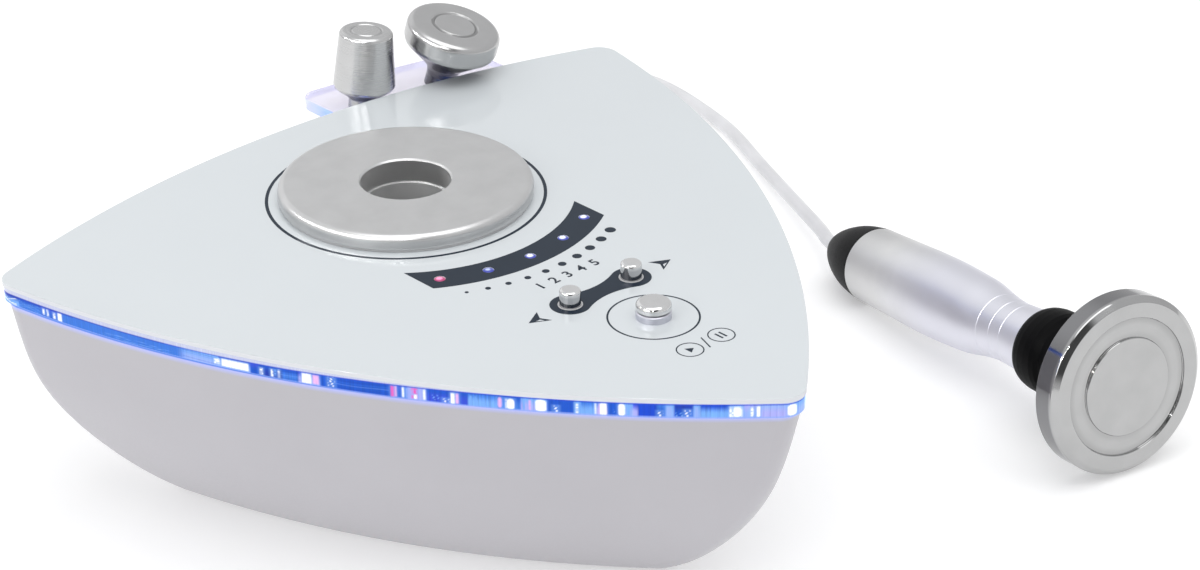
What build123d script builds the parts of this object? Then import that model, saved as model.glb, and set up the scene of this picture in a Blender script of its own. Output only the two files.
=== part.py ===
from build123d import *
import math
import os

# ---------------------------------------------------------------------------
# Desktop facial care device with a docking disc on its lid, three push
# buttons, a lit acrylic edge, two spare heads on a clear rear shelf and a
# handpiece that lies beside it on a cord.  Millimetres.
# Origin: on the floor, on the axis of the docking disc.  -Y points at the
# front tip of the console, +Z up.
# ---------------------------------------------------------------------------

# ---- driving dimensions ----------------------------------------------------
PLATE_TOP = 78.0          # top of the printed lid above the floor
PANEL_T = 1.7             # white printed panel
GUIDE_BOT = 71.8          # underside of the clear acrylic edge plate
HOUSE_BOT = 1.5           # underside of the housing (feet stand proud)
WALL = 2.6                # moulded wall
TIP_X, TIP_Y = -2.4, -168.0   # sharp front vertex of the lid outline
CORNER_X = 120.1          # sharp rear vertices
CORNER_Y = 39.9
SIDE_SAG = 21.6           # bulge of the right side arc
LEFT_SAG = 21.1           # bulge of the left side arc
REAR_SAG = 22.7           # bulge of the rear arc
CORNER_R = 6.7            # corner rounding of the lid

# inset of the housing's outer face from the lid outline, by height
BOWL = [(71.8, 1.0), (66.0, 2.3), (58.0, 4.0), (50.0, 6.0), (42.0, 8.5),
        (34.0, 11.8), (26.0, 15.9), (18.0, 20.8), (10.0, 26.6), (1.5, 34.6)]
# the same for its rear wall, which stands steeper
BOWL_REAR = [1.0, 1.2, 1.4, 1.8, 3.0, 5.6, 9.9, 15.6, 22.5, 31.0]

DISC_R = 38.5             # docking disc
DISC_TOP = 83.3
DISC_GAP = 0.7            # shadow gap under the disc
DOCK_R = 13.6             # mouth of the dock
DOCK_LEN = 7.7
CUP_R = 13.05             # well below the mouth
CUP_FLOOR = 18.0

PIN_X, PIN_Y = 11.8, -86.0    # minus and plus buttons
PIN_R = 3.1
PIN_TOP = 83.0
PIN_TRAVEL = 0.8
PLAY_Y = -107.5               # play button
PLAY_R = 5.1
PLAY_TOP = 83.1
PLAY_SEAM = 80.2
PLAY_GAP = 0.6
PLAY_TRAVEL = 0.5

LED_R = 56.1              # circle of the five level lamps
LED_STEP = 15.0           # degrees
LED_WIN = 1.55

SHELF_TOP = 70.8          # clear rear shelf
SHELF_T = 4.0
SHELF_X0, SHELF_X1 = 30.7, 95.3
SHELF_R = 361.0           # rear edge of the shelf, about the rear arc's centre
HEAD_HOLE_R = 4.8
PEG_R = 4.0

HAND_TILT = 7.206         # handpiece lies on its head's rim and its tail cap
HAND_DIR = (-0.21332, -0.97699)   # plan direction from tail to face
HAND_FACE = (133.5, -171.7, 28.86)
HEAD_R = 28.2
HEAD_T = 7.4
TAIL_S = -151.0

CORD_R = 2.4
CORD_Z = 2.45             # cord centre when it lies on the floor
COIL_C = (95.0, 125.0)
COIL_RADII = (21.5, 26.3, 31.1)
COIL_LIFT = 0.65

PANEL_Y = 45.5            # outer face of the recessed rear panel
REC_X0, REC_X1 = -44.0, 24.0
REC_Z0, REC_Z1 = 32.0, 62.0
REAR_Z = 47.0
ROCK_X = -29.0
INLET_X = -8.0
SOCK_X = 11.0
ROCK_TILT = 10.0

os.makedirs("parts", exist_ok=True)
NODES = {}


def put(name, shape):
    NODES[name] = shape
    export_step(shape, "parts/" + name + ".step")


def group(items):
    return Compound(children=list(items))


# ---- outline of the lid ----------------------------------------------------
T = (TIP_X, TIP_Y)
A = (CORNER_X, CORNER_Y)
AL = (-CORNER_X, CORNER_Y)


def arc_centre(p, q, sag, out):
    c = math.dist(p, q)
    r = (c * c / 4 + sag * sag) / (2 * sag)
    m = ((p[0] + q[0]) / 2, (p[1] + q[1]) / 2)
    return (m[0] - out[0] * (r - sag), m[1] - out[1] * (r - sag)), r


_L = math.dist(T, A)
_n = ((A[1] - T[1]) / _L, -(A[0] - T[0]) / _L)
SIDE_C, SIDE_R = arc_centre(T, A, SIDE_SAG, _n)
_LL = math.dist(T, AL)
_nl = (-(AL[1] - T[1]) / _LL, (AL[0] - T[0]) / _LL)
SIDE_CL, SIDE_RL = arc_centre(T, AL, LEFT_SAG, _nl)
REAR_C, REAR_R = arc_centre(AL, A, REAR_SAG, (0, 1))


def meet(c0, r0, c1, r1, near):
    dx, dy = c1[0] - c0[0], c1[1] - c0[1]
    d = math.hypot(dx, dy)
    a = (d * d + r0 * r0 - r1 * r1) / (2 * d)
    h = math.sqrt(max(r0 * r0 - a * a, 0))
    best = None
    for s in (1, -1):
        p = (c0[0] + a * dx / d - s * h * dy / d, c0[1] + a * dy / d + s * h * dx / d)
        if best is None or math.dist(p, near) < math.dist(best, near):
            best = p
    return best


def toward(c, p, r):
    d = math.dist(c, p)
    return (c[0] + (p[0] - c[0]) * r / d, c[1] + (p[1] - c[1]) * r / d)


def outline(inset, z, rc=CORNER_R, rear=None):
    rs, rl, rr = SIDE_R - inset, SIDE_RL - inset, REAR_R - (inset if rear is None else rear)
    f = meet(SIDE_C, rs - rc, SIDE_CL, rl - rc, T)
    g = meet(SIDE_C, rs - rc, REAR_C, rr - rc, A)
    gl = meet(SIDE_CL, rl - rc, REAR_C, rr - rc, AL)

    def on(c, p, r):
        q = toward(c, p, r)
        return Vector(q[0], q[1], z)

    def mid(c, r, p, q):
        m = toward(c, ((p.X + q.X) / 2, (p.Y + q.Y) / 2), r)
        return Vector(m[0], m[1], z)

    f_r, g_s = on(SIDE_C, f, rs), on(SIDE_C, g, rs)
    g_r, gl_r = on(REAR_C, g, rr), on(REAR_C, gl, rr)
    gl_s, f_l = on(SIDE_CL, gl, rl), on(SIDE_CL, f, rl)
    edges = [
        ThreePointArc(f_r, mid(SIDE_C, rs, f_r, g_s), g_s),
        ThreePointArc(g_s, mid(g, rc, g_s, g_r), g_r),
        ThreePointArc(g_r, mid(REAR_C, rr, g_r, gl_r), gl_r),
        ThreePointArc(gl_r, mid(gl, rc, gl_r, gl_s), gl_s),
        ThreePointArc(gl_s, mid(SIDE_CL, rl, gl_s, f_l), f_l),
        ThreePointArc(f_l, mid(f, rc, f_l, f_r), f_r),
    ]
    return make_face(Wire(edges))


def slab(inset, z0, z1, rc=CORNER_R, rear=None):
    return extrude(outline(inset, z0, rc, rear), z1 - z0, dir=(0, 0, 1))


def cyl(x, y, z0, z1, r):
    return Pos(x, y, (z0 + z1) / 2) * Cylinder(r, z1 - z0)


def ybar(x, z, y0, y1, r):
    return Pos(x, (y0 + y1) / 2, z) * Rot(90, 0, 0) * Cylinder(r, y1 - y0)


def block(x0, x1, y0, y1, z0, z1):
    return Pos((x0 + x1) / 2, (y0 + y1) / 2, (z0 + z1) / 2) * Box(x1 - x0, y1 - y0, z1 - z0)


def inset_at(z):
    for (za, a), (zb, b) in zip(BOWL, BOWL[1:]):
        if zb <= z <= za:
            return a + (b - a) * (za - z) / (za - zb)
    return BOWL[0][1] if z > BOWL[0][0] else BOWL[-1][1]


# ---- housing ---------------------------------------------------------------
def bowl(extra, z_top, z_bot):
    faces = []
    n = len(BOWL)
    for i in range(n):
        offs = []
        z = BOWL[i][0]
        dz = BOWL[max(i - 1, 0)][0] - BOWL[min(i + 1, n - 1)][0]
        for tab in ([d for _, d in BOWL], BOWL_REAR):
            slope = (tab[min(i + 1, n - 1)] - tab[max(i - 1, 0)]) / dz
            off = tab[i] + extra * math.sqrt(1 + slope * slope)
            if extra and i == n - 1:
                off = off + slope * (z - z_bot)
            offs.append(off)
        if extra and i == 0:
            z = z_top
        if extra and i == n - 1:
            z = z_bot
        faces.append(outline(offs[0], z, CORNER_R if not extra else CORNER_R - 1.0, offs[1]))
    return loft(faces)


outer = bowl(0.0, GUIDE_BOT, HOUSE_BOT)
inner = bowl(WALL, GUIDE_BOT + 1.0, HOUSE_BOT - 1.0)
housing = outer - inner

# bosses for the lid screws, joined to the wall by ribs
TOP_BOSS = [(0.0, -138.0), (63.1, -65.9), (-63.1, -65.9), (94.1, 24.9), (-94.1, 24.9), (-58.0, 39.0)]
BOT_BOSS = [(0.0, -108.0), (40.6, -52.9), (-40.6, -52.9), (66.0, 9.2), (-66.0, 9.2), (0.0, 18.6)]


def rib(p, reach, z0, z1, t=2.2):
    # a web from a boss out towards the nearest stretch of wall
    if p[1] > 18 and abs(p[0]) < 62:
        c, sgn = REAR_C, 1
    elif p[1] < -100:
        c, sgn = (0.0, 0.0), 1
    elif abs(p[0]) > 62 and p[1] > 0:
        c, sgn = (0.0, -29.4), 1
    else:
        c, sgn = (SIDE_C if p[0] > 0 else SIDE_CL), 1
    ang = math.degrees(math.atan2(p[1] - c[1], p[0] - c[0]))
    b = Box(reach, t, z1 - z0, align=(Align.MIN, Align.CENTER, Align.MIN))
    return Pos(p[0], p[1], z0) * Rot(0, 0, ang) * b


adds = []
for p in TOP_BOSS:
    adds.append(cyl(p[0], p[1], 62.0 if p != TOP_BOSS[5] else 65.0, GUIDE_BOT, 4.5))
    adds.append(rib(p, 34.0, 63.0 if p != TOP_BOSS[5] else 65.0, GUIDE_BOT))
for p in BOT_BOSS:
    adds.append(cyl(p[0], p[1], 4.0, 15.0, 4.2))
    adds.append(rib(p, 34.0, 4.0, 15.0))
# two bosses that carry the rear shelf
SHELF_BOSS = [(45.0, 44.0), (82.0, 38.5)]
for p in SHELF_BOSS:
    adds.append(cyl(p[0], p[1], 57.0, SHELF_TOP - SHELF_T, 4.2))
    adds.append(Pos(p[0], p[1], 57.0) * Rot(0, 0, 80) * Box(24.0, 2.2, 9.8, align=(Align.MIN, Align.CENTER, Align.MIN)))
# walls of the rear recess, with a lip that the panel is screwed to
frame = block(REC_X0 - 2.4, REC_X1 + 2.4, 41.0, 72.0, REC_Z0 - 2.4, REC_Z1 + 2.4)
adds.append(frame)
trim = outer
housing = housing + [a & trim for a in adds]
housing = housing - block(REC_X0, REC_X1, PANEL_Y - 2.0, 80.0, REC_Z0, REC_Z1)
housing = housing - block(REC_X0 + 4.0, REC_X1 - 4.0, 30.0, 60.0, REC_Z0 + 4.0, REC_Z1 - 4.0)
# slot for the shelf, open to the top
housing = housing - block(SHELF_X0 - 0.3, SHELF_X1 + 0.3, 35.0, 80.0, SHELF_TOP - SHELF_T, GUIDE_BOT + 1)
for p in TOP_BOSS:
    housing = housing - cyl(p[0], p[1], 65.5, GUIDE_BOT + 1, 1.5)
for p in BOT_BOSS:
    housing = housing - cyl(p[0], p[1], 0.0, 13.0, 1.5)
for p in SHELF_BOSS:
    housing = housing - cyl(p[0], p[1], 60.0, 68.0, 1.2)
REC_SCREWS = [(REC_X0 + 2.6, REC_Z0 + 2.6), (REC_X1 - 2.6, REC_Z0 + 2.6),
              (REC_X0 + 2.6, REC_Z1 - 2.6), (REC_X1 - 2.6, REC_Z1 - 2.6)]
for x, z in REC_SCREWS:
    housing = housing - ybar(x, z, 38.0, PANEL_Y, 1.0)
put("lower_housing", housing)

# ---- base plate and feet ---------------------------------------------------
FEET = [(0.0, 0.0), (0.0, -93.0), (52.0, 1.0), (-52.0, 1.0)]
base = slab(BOWL[-1][1] + 4.0, HOUSE_BOT, 4.0, 5.5, BOWL_REAR[-1] + 4.2)
for x, y in FEET:
    base = base - cyl(x, y, 0.0, 3.0, 7.2)
for p in BOT_BOSS:
    base = base - cyl(p[0], p[1], 0.0, 5.0, 1.6) - cyl(p[0], p[1], 0.0, 2.7, 3.2)
for i in range(-4, 5):
    for y in (-34.0, -62.0):
        base = base - Pos(i * 5.0, y, 3.0) * Box(2.2, 18.0, 6.0)
put("base_plate", base)
put("rubber_feet", group([cyl(x, y, 0.0, 3.0, 7.0) for x, y in FEET]))


def screw_up(x, y, z0, z1, r, head_r, head_t):
    # head at the bottom, shank above
    return cyl(x, y, z0, z0 + head_t, head_r) + cyl(x, y, z0 + head_t, z1, r)


def screw_down(x, y, z0, z1, r, head_r, head_t):
    # head at the top, shank below
    return cyl(x, y, z1 - head_t, z1, head_r) + cyl(x, y, z0, z1 - head_t, r)


def crossed(s, x, y, z, d, size):
    # cross recess in a screw head, cut down from z over depth d
    return s - block(x - size, x + size, y - size * 0.25, y + size * 0.25, z - d, z + d) \
             - block(x - size * 0.25, x + size * 0.25, y - size, y + size, z - d, z + d)


base_screws = [crossed(screw_up(p[0], p[1], 1.7, 12.0, 1.5, 2.9, 1.0), p[0], p[1], 1.7, 0.6, 1.6) for p in BOT_BOSS]

# ---- lid: white printed panel on a clear edge plate ---------------------------
holes = [(0.0, 0.0, 18.1), (PIN_X, PIN_Y, 3.5), (-PIN_X, PIN_Y, 3.5), (0.0, PLAY_Y, 4.6)]
LEDS = [(LED_R * math.sin(math.radians(LED_STEP * i)), -LED_R * math.cos(math.radians(LED_STEP * i)))
        for i in range(-2, 3)]
panel = slab(0.0, PLATE_TOP - PANEL_T, PLATE_TOP)
panel = chamfer(panel.faces().sort_by(Axis.Z)[-1].outer_wire().edges(), 0.35)
guide = slab(0.3, GUIDE_BOT, PLATE_TOP - PANEL_T)
for x, y, r in holes:
    panel = panel - cyl(x, y, 70.0, 80.0, r)
    guide = guide - cyl(x, y, 70.0, 80.0, r)
for x, y in LEDS:
    panel = panel - cyl(x, y, 70.0, 80.0, LED_WIN)
    guide = guide - cyl(x, y, 70.0, 80.0, LED_WIN)
for p in TOP_BOSS:
    guide = guide - cyl(p[0], p[1], 70.0, 80.0, 1.6) - cyl(p[0], p[1], 75.0, 80.0, 3.1)
# groove in its underside for the lamp strip
GROOVE_Z = 75.0
guide = guide - (slab(9.8, GUIDE_BOT - 1, GROOVE_Z) - slab(13.2, GUIDE_BOT - 2, GROOVE_Z + 1, 4.0))
put("top_panel", panel)
put("light_guide", guide)
# twelve identical case screws: six through the base, six under the printed panel
lid_screws = [crossed(screw_down(p[0], p[1], 65.9, 76.2, 1.5, 2.9, 1.0), p[0], p[1], 76.2, 0.6, 1.6) for p in TOP_BOSS]
put("case_screws", group(base_screws + lid_screws))

# lamp strip standing against the inner side of the groove, lamps facing out
strip = slab(12.5, GUIDE_BOT + 0.1, GROOVE_Z - 0.2, 4.6) - slab(13.1, GUIDE_BOT - 1, GROOVE_Z + 1, 4.0)
put("edge_led_strip", strip)
lamps = []


def lamp_on(c, r, a0, a1, n):
    for i in range(n):
        a = math.radians(a0 + (a1 - a0) * (i + 0.5) / n)
        x, y = c[0] + r * math.cos(a), c[1] + r * math.sin(a)
        lamps.append(Pos(x, y, 73.4) * Rot(0, 0, math.degrees(a)) * Box(1.2, 3.4, 2.0))


def span(c, p, q):
    a = math.degrees(math.atan2(p[1] - c[1], p[0] - c[0]))
    b = math.degrees(math.atan2(q[1] - c[1], q[0] - c[0]))
    return a, b


LAMP_IN = 11.9
v_tip = meet(SIDE_C, SIDE_R - 30, SIDE_CL, SIDE_RL - 30, T)
v_cor = meet(SIDE_C, SIDE_R - 20, REAR_C, REAR_R - 20, A)
a0, a1 = span(SIDE_C, v_tip, v_cor)
lamp_on(SIDE_C, SIDE_R - LAMP_IN, a0, a1, 9)
a0, a1 = span(SIDE_CL, (-v_cor[0], v_cor[1]), v_tip)
if a1 < a0:
    a1 += 360
lamp_on(SIDE_CL, SIDE_RL - LAMP_IN, a0, a1, 9)
a0, a1 = span(REAR_C, v_cor, (-v_cor[0], v_cor[1]))
lamp_on(REAR_C, REAR_R - LAMP_IN, a0, a1, 8)
put("edge_leds", group(lamps))

# ---- docking disc, cup and nut -------------------------------------------------
dz0 = PLATE_TOP + DISC_GAP
disc = cyl(0, 0, dz0, DISC_TOP, DISC_R)
disc = fillet(disc.edges().filter_by(GeomType.CIRCLE).sort_by(Axis.Z)[-1], 3.9)
disc = fillet(disc.edges().filter_by(GeomType.CIRCLE).sort_by(Axis.Z)[0], 0.5)
disc = disc + cyl(0, 0, PLATE_TOP, dz0, 34.0) + cyl(0, 0, 58.0, PLATE_TOP, 18.0)
disc = disc - cyl(0, 0, DISC_TOP - DOCK_LEN, 90.0, DOCK_R) - cyl(0, 0, 50.0, DISC_TOP - DOCK_LEN, 15.1)
lip = disc.edges().filter_by(GeomType.CIRCLE).filter_by(lambda e: abs(e.radius - DOCK_R) < 0.01).sort_by(Axis.Z)[-1]
disc = chamfer(lip, 0.5)
put("dock_ring", disc)
cup = cyl(0, 0, CUP_FLOOR - 2.0, DISC_TOP - DOCK_LEN, 15.0) - cyl(0, 0, CUP_FLOOR, 90.0, CUP_R)
put("dock_cup", cup)
nut = Pos(0, 0, 65.8) * extrude(RegularPolygon(26.0, 6, major_radius=True), GUIDE_BOT - 65.8) - cyl(0, 0, 60.0, 75.0, 18.0)
put("dock_nut", nut)

# ---- push buttons ----------------------------------------------------------
FLANGE_TOP = GUIDE_BOT - 0.05
CARRIER_Z0, CARRIER_Z1 = 63.0, 65.0
STEM_END = 62.45


def pin_button(x):
    b = cyl(x, PIN_Y, 70.15, PIN_TOP, PIN_R)
    b = fillet(b.edges().filter_by(GeomType.CIRCLE).sort_by(Axis.Z)[-1], 1.3)
    return b + cyl(x, PIN_Y, 70.15, FLANGE_TOP, 4.6) + cyl(x, PIN_Y, STEM_END, 70.15, 1.5)


put("minus_button", pin_button(-PIN_X))
put("plus_button", pin_button(PIN_X))


def coil_spring(x, y, z0, z1, r, wire, turns):
    # closed and ground ends: the wire's centre stays one wire radius inside
    h = (z1 - z0) - 2 * wire
    path = Helix(pitch=h / turns, height=h, radius=r)
    sec = Plane(origin=path @ 0, z_dir=path % 0) * Circle(wire)
    return Pos(x, y, z0 + wire) * sweep(sec, path, is_frenet=True)


put("minus_spring", coil_spring(-PIN_X, PIN_Y, CARRIER_Z1, 70.15, 2.5, 0.25, 4))
put("plus_spring", coil_spring(PIN_X, PIN_Y, CARRIER_Z1, 70.15, 2.5, 0.25, 4))

bezel = cyl(0, PLAY_Y, PLATE_TOP, PLAY_SEAM, PLAY_R) + cyl(0, PLAY_Y, GUIDE_BOT, PLATE_TOP, 4.5)
bezel = chamfer(bezel.edges().filter_by(GeomType.CIRCLE).sort_by(Axis.Z)[-1], 0.3)
bezel = bezel - cyl(0, PLAY_Y, 60.0, 90.0, 3.1)
put("play_bezel", bezel)
cap = cyl(0, PLAY_Y, PLAY_SEAM + PLAY_GAP, PLAY_TOP, PLAY_R)
cap = fillet(cap.edges().filter_by(GeomType.CIRCLE).sort_by(Axis.Z)[-1], 1.4)
cap = cap + cyl(0, PLAY_Y, 66.5, PLAY_SEAM + PLAY_GAP, 3.05 - 0.03) + cyl(0, PLAY_Y, STEM_END, 66.5, 1.5)
cap = cap - (cyl(0, PLAY_Y, 69.4, 70.6, 5.0) - cyl(0, PLAY_Y, 69.0, 71.0, 2.4))
put("play_button", cap)
clip = cyl(0, PLAY_Y, 69.5, 70.5, 4.8) - cyl(0, PLAY_Y, 69.0, 71.0, 2.42) - Pos(0, PLAY_Y - 4.0, 70.0) * Box(4.2, 5.0, 3.0)
put("play_clip", clip)
put("play_spring", coil_spring(0.0, PLAY_Y, CARRIER_Z1, 69.5, 3.6, 0.3, 4))

POSTS = [(-17.5, -101.0), (17.5, -101.0), (0.0, -79.5)]
carrier = Pos(0, -96.0, (CARRIER_Z0 + CARRIER_Z1) / 2) * Box(44.0, 40.0, CARRIER_Z1 - CARRIER_Z0)
carrier = fillet(carrier.edges().filter_by(Axis.Z), 5.0)
for x, y in POSTS:
    carrier = carrier + cyl(x, y, CARRIER_Z1, GUIDE_BOT, 2.6)
for x, y in ((PIN_X, PIN_Y), (-PIN_X, PIN_Y), (0.0, PLAY_Y)):
    carrier = carrier - cyl(x, y, 60.0, 68.0, 1.55)
put("button_carrier", carrier)

# ---- control board with its switches and level lamps -------------------------
BOARD_Z0, BOARD_Z1 = 54.6, 56.2
ctrl = Pos(0, -82.5, (BOARD_Z0 + BOARD_Z1) / 2) * Box(72.0, 69.0, BOARD_Z1 - BOARD_Z0)
ctrl = chamfer(ctrl.edges().filter_by(Axis.Z).group_by(Axis.Y)[0], 8.0)
CTRL_POSTS = [(-31.0, -53.0), (31.0, -53.0), (-27.0, -104.0), (27.0, -104.0)]
for x, y in CTRL_POSTS:
    ctrl = ctrl - cyl(x, y, 50.0, 60.0, 1.3)
put("control_board", ctrl)
ctrl_posts = [cyl(x, y, BOARD_Z1, GUIDE_BOT, 2.6) - cyl(x, y, 50.0, 63.0, 1.25) for x, y in CTRL_POSTS]
ctrl_screws = [screw_up(x, y, BOARD_Z0 - 1.2, 62.0, 1.25, 2.5, 1.2) for x, y in CTRL_POSTS]


def tact(x, y):
    return Pos(x, y, BOARD_Z1 + 1.75) * Box(6.0, 6.0, 3.5) + cyl(x, y, BOARD_Z1 + 3.5, 61.5, 1.75)


put("tact_switches", group([tact(PIN_X, PIN_Y), tact(-PIN_X, PIN_Y), tact(0.0, PLAY_Y)]))
put("level_leds", group([cyl(x, y, BOARD_Z1, 61.0, 1.5) + cyl(x, y, BOARD_Z1, 57.2, 1.8) for x, y in LEDS]))
put("led_lenses", group([cyl(x, y, 61.0, PLATE_TOP + 0.25, LED_WIN) for x, y in LEDS]))

# ---- main board and what stands on it -----------------------------------------
MB_Z0, MB_Z1 = 12.0, 13.6
main = block(-34.0, 34.0, -82.0, -22.0, MB_Z0, MB_Z1)
MAIN_POSTS = [(-29.0, -27.0), (29.0, -27.0), (-26.0, -77.0), (26.0, -77.0)]
for x, y in MAIN_POSTS:
    main = main - cyl(x, y, 10.0, 15.0, 1.3)
put("main_board", main)
put("board_posts", group(ctrl_posts + [cyl(x, y, 4.0, MB_Z0, 2.8) - cyl(x, y, 5.0, 13.0, 1.25) for x, y in MAIN_POSTS]))
put("board_screws", group(ctrl_screws + [screw_down(x, y, 6.2, MB_Z1 + 1.2, 1.25, 2.5, 1.2) for x, y in MAIN_POSTS]))
core = block(-20.0, 8.0, -50.0, -26.0, MB_Z1, 33.6) - block(-14.0, -9.0, -55.0, -20.0, 18.0, 29.2) - block(-3.0, 2.0, -55.0, -20.0, 18.0, 29.2)
put("transformer_core", core)
wind = block(-13.9, 1.9, -54.0, -22.0, 18.1, 29.1) - block(-9.0, -3.0, -50.0, -26.0, 10.0, 40.0)
put("transformer_winding", wind)
sink = block(14.0, 30.0, -60.0, -32.0, MB_Z1, 16.6)
for i in range(6):
    sink = sink + block(14.0 + i * 2.9, 15.5 + i * 2.9, -60.0, -32.0, 16.6, 36.0)
put("heat_sink", sink)
put("capacitors", group([cyl(x, y, MB_Z1, MB_Z1 + h, r) for x, y, h, r in
                         ((-24.0, -63.0, 20.0, 5.0), (-12.0, -63.0, 20.0, 5.0), (0.0, -62.0, 14.0, 4.0), (9.5, -70.0, 11.0, 3.15))]))
# flat link between the two boards
path = FilletPolyline((-1.0, -77.5, MB_Z1), (-1.0, -77.5, 28.0), (-1.0, -59.5, 38.0), (-1.0, -59.5, BOARD_Z0), radius=4.0)
put("ribbon_link", sweep(Plane(origin=(-1.0, -77.5, MB_Z1), z_dir=(0, 0, 1)) * Rectangle(12.0, 0.9), path))

# ---- rear panel: switch, inlet and handpiece socket ----------------------------
PY0, PY1 = PANEL_Y - 2.0, PANEL_Y
rear = block(REC_X0 + 0.15, REC_X1 - 0.15, PY0, PY1, REC_Z0 + 0.15, REC_Z1 - 0.15)
rear = rear - block(ROCK_X - 6.5, ROCK_X + 6.5, 30, 60, REAR_Z - 9.5, REAR_Z + 9.5)
rear = rear - ybar(INLET_X, REAR_Z, 30, 60, 5.5) - ybar(SOCK_X, REAR_Z, 30, 60, 6.0)
for x, z in REC_SCREWS:
    rear = rear - ybar(x, z, 30, 60, 1.2)
put("rear_panel", rear)
put("rear_screws", group([ybar(x, z, PY1, PY1 + 1.2, 2.0) + ybar(x, z, 42.0, PY1, 1.0) for x, z in REC_SCREWS]))

frame = block(ROCK_X - 7.5, ROCK_X + 7.5, PY1, PY1 + 1.8, REAR_Z - 10.5, REAR_Z + 10.5)
frame = frame + block(ROCK_X - 6.4, ROCK_X + 6.4, 31.0, PY1, REAR_Z - 9.4, REAR_Z + 9.4)
frame = frame - block(ROCK_X - 5.2, ROCK_X + 5.2, 35.5, 60.0, REAR_Z - 8.2, REAR_Z + 8.2)
PIV_Y = 41.5
frame = frame - Pos(ROCK_X, PIV_Y, REAR_Z) * Rot(0, 90, 0) * Cylinder(1.06, 12.0)
put("switch_frame", frame)
prof = [(-2.0, -3.0), (-2.0, 3.0), (2.0, 6.6), (6.6, 6.8), (5.2, 0.0), (6.6, -6.8), (2.0, -6.6)]
rk = make_face(Polyline(*[Vector(0, y, z) for y, z in prof], close=True))
rk = extrude(rk, 4.95, dir=(1, 0, 0), both=True)
rk = rk + Rot(0, 90, 0) * Cylinder(1.0, 11.8)
put("power_rocker", Pos(ROCK_X, PIV_Y, REAR_Z) * Rot(ROCK_TILT, 0, 0) * rk)

inlet = ybar(INLET_X, REAR_Z, PY1, PY1 + 1.6, 6.6) + ybar(INLET_X, REAR_Z, 33.0, PY1, 5.45)
inlet = inlet - ybar(INLET_X, REAR_Z, 37.5, 60.0, 2.75)
put("dc_inlet", inlet)
inlet_pin = ybar(INLET_X, REAR_Z, 37.5, PY1 + 0.4, 1.0)
inlet_nut = Pos(INLET_X, PY0, REAR_Z) * Rot(90, 0, 0) * extrude(RegularPolygon(7.6, 6), 2.4) - ybar(INLET_X, REAR_Z, 30.0, 60.0, 5.45)

sock = ybar(SOCK_X, REAR_Z, PY1, PY1 + 1.8, 8.5) + ybar(SOCK_X, REAR_Z, 31.0, PY1, 5.95)
sock = sock - ybar(SOCK_X, REAR_Z, 34.0, 60.0, 4.6)
sock_pins = []
for a in (90, 210, 330):
    px, pz = SOCK_X + 2.2 * math.cos(math.radians(a)), REAR_Z + 2.2 * math.sin(math.radians(a))
    sock = sock - ybar(px, pz, 27.0, 36.0, 0.6)
    sock_pins.append(ybar(px, pz, 27.0, 34.0, 0.6))
put("handpiece_socket", sock)
put("contact_pins", group(sock_pins + [inlet_pin]))
sock_nut = Pos(SOCK_X, PY0, REAR_Z) * Rot(90, 0, 0) * extrude(RegularPolygon(7.9, 6), 2.4) - ybar(SOCK_X, REAR_Z, 30.0, 60.0, 5.95)
put("rear_nuts", group([inlet_nut, sock_nut]))
plug = ybar(SOCK_X, REAR_Z, 34.2, PY1 + 1.9, 4.55) + ybar(SOCK_X, REAR_Z, PY1 + 1.9, 68.0, 7.2)
plug = fillet(plug.edges().filter_by(GeomType.CIRCLE).sort_by(Axis.Y)[-1], 1.0)
put("cord_plug", plug)
relief = Pos(SOCK_X, 68.0, REAR_Z) * Rot(-90, 0, 0) * Cone(5.4, 3.2, 22.0, align=(Align.CENTER, Align.CENTER, Align.MIN))
put("plug_relief", relief)
CORD_START = (SOCK_X, 90.0, REAR_Z)

# ---- clear rear shelf -----------------------------------------------------------
EYE_TOP = (42.13, 69.35, 97.8)
EYE_DIR = Vector(0.0765, -0.030, 0.9966).normalized()
FACE_TOP = (70.4, 58.6, 94.5)
FACE_DIR = Vector(0.135, -0.245, 0.960).normalized()


def foot_of(top, d, z):
    s = (top[2] - z) / d.Z
    return (top[0] - s * d.X, top[1] - s * d.Y)


mid_z = SHELF_TOP - SHELF_T / 2
eye_hole = foot_of(EYE_TOP, EYE_DIR, mid_z)
face_hole = foot_of(FACE_TOP, FACE_DIR, mid_z)


def rear_y(x, r):
    return REAR_C[1] + math.sqrt(r * r - x * x)


sx0, sx1, sy0 = SHELF_X0, SHELF_X1, 35.5
p0, p1 = (sx0, rear_y(sx0, SHELF_R)), (sx1, rear_y(sx1, SHELF_R))
pm = ((sx0 + sx1) / 2, rear_y((sx0 + sx1) / 2, SHELF_R))
# inner edge follows the inside of the housing on the right
in_r = REAR_R - 10.5
q0, q1 = (sx0, 38.0), (sx1, rear_y(sx1, in_r) - 6.0)
edges = [Line((sx0, q0[1]), p0), ThreePointArc(p0, pm, p1), Line(p1, q1), Line(q1, (72.0, 33.0)), Line((72.0, 33.0), q0)]
shelf = extrude(make_face(Wire([e for e in edges])), SHELF_T, dir=(0, 0, 1))
shelf = Pos(0, 0, SHELF_TOP - SHELF_T) * shelf
corners = [e for e in shelf.edges().filter_by(Axis.Z) if e.center().Y > 75]
shelf = fillet(corners, 5.5)
shelf = shelf - cyl(eye_hole[0], eye_hole[1], 60, 75, HEAD_HOLE_R) - cyl(face_hole[0], face_hole[1], 60, 75, HEAD_HOLE_R)
for p in SHELF_BOSS:
    shelf = shelf - cyl(p[0], p[1], 60, 75, 1.3)
put("head_shelf", shelf)
put("shelf_screws", group([screw_down(p[0], p[1], 61.0, SHELF_TOP + 0.9, 1.2, 2.6, 0.9) for p in SHELF_BOSS]))
print("eye hole", eye_hole, "face hole", face_hole, "side arcs", SIDE_C, SIDE_R, SIDE_CL, SIDE_RL)

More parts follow.
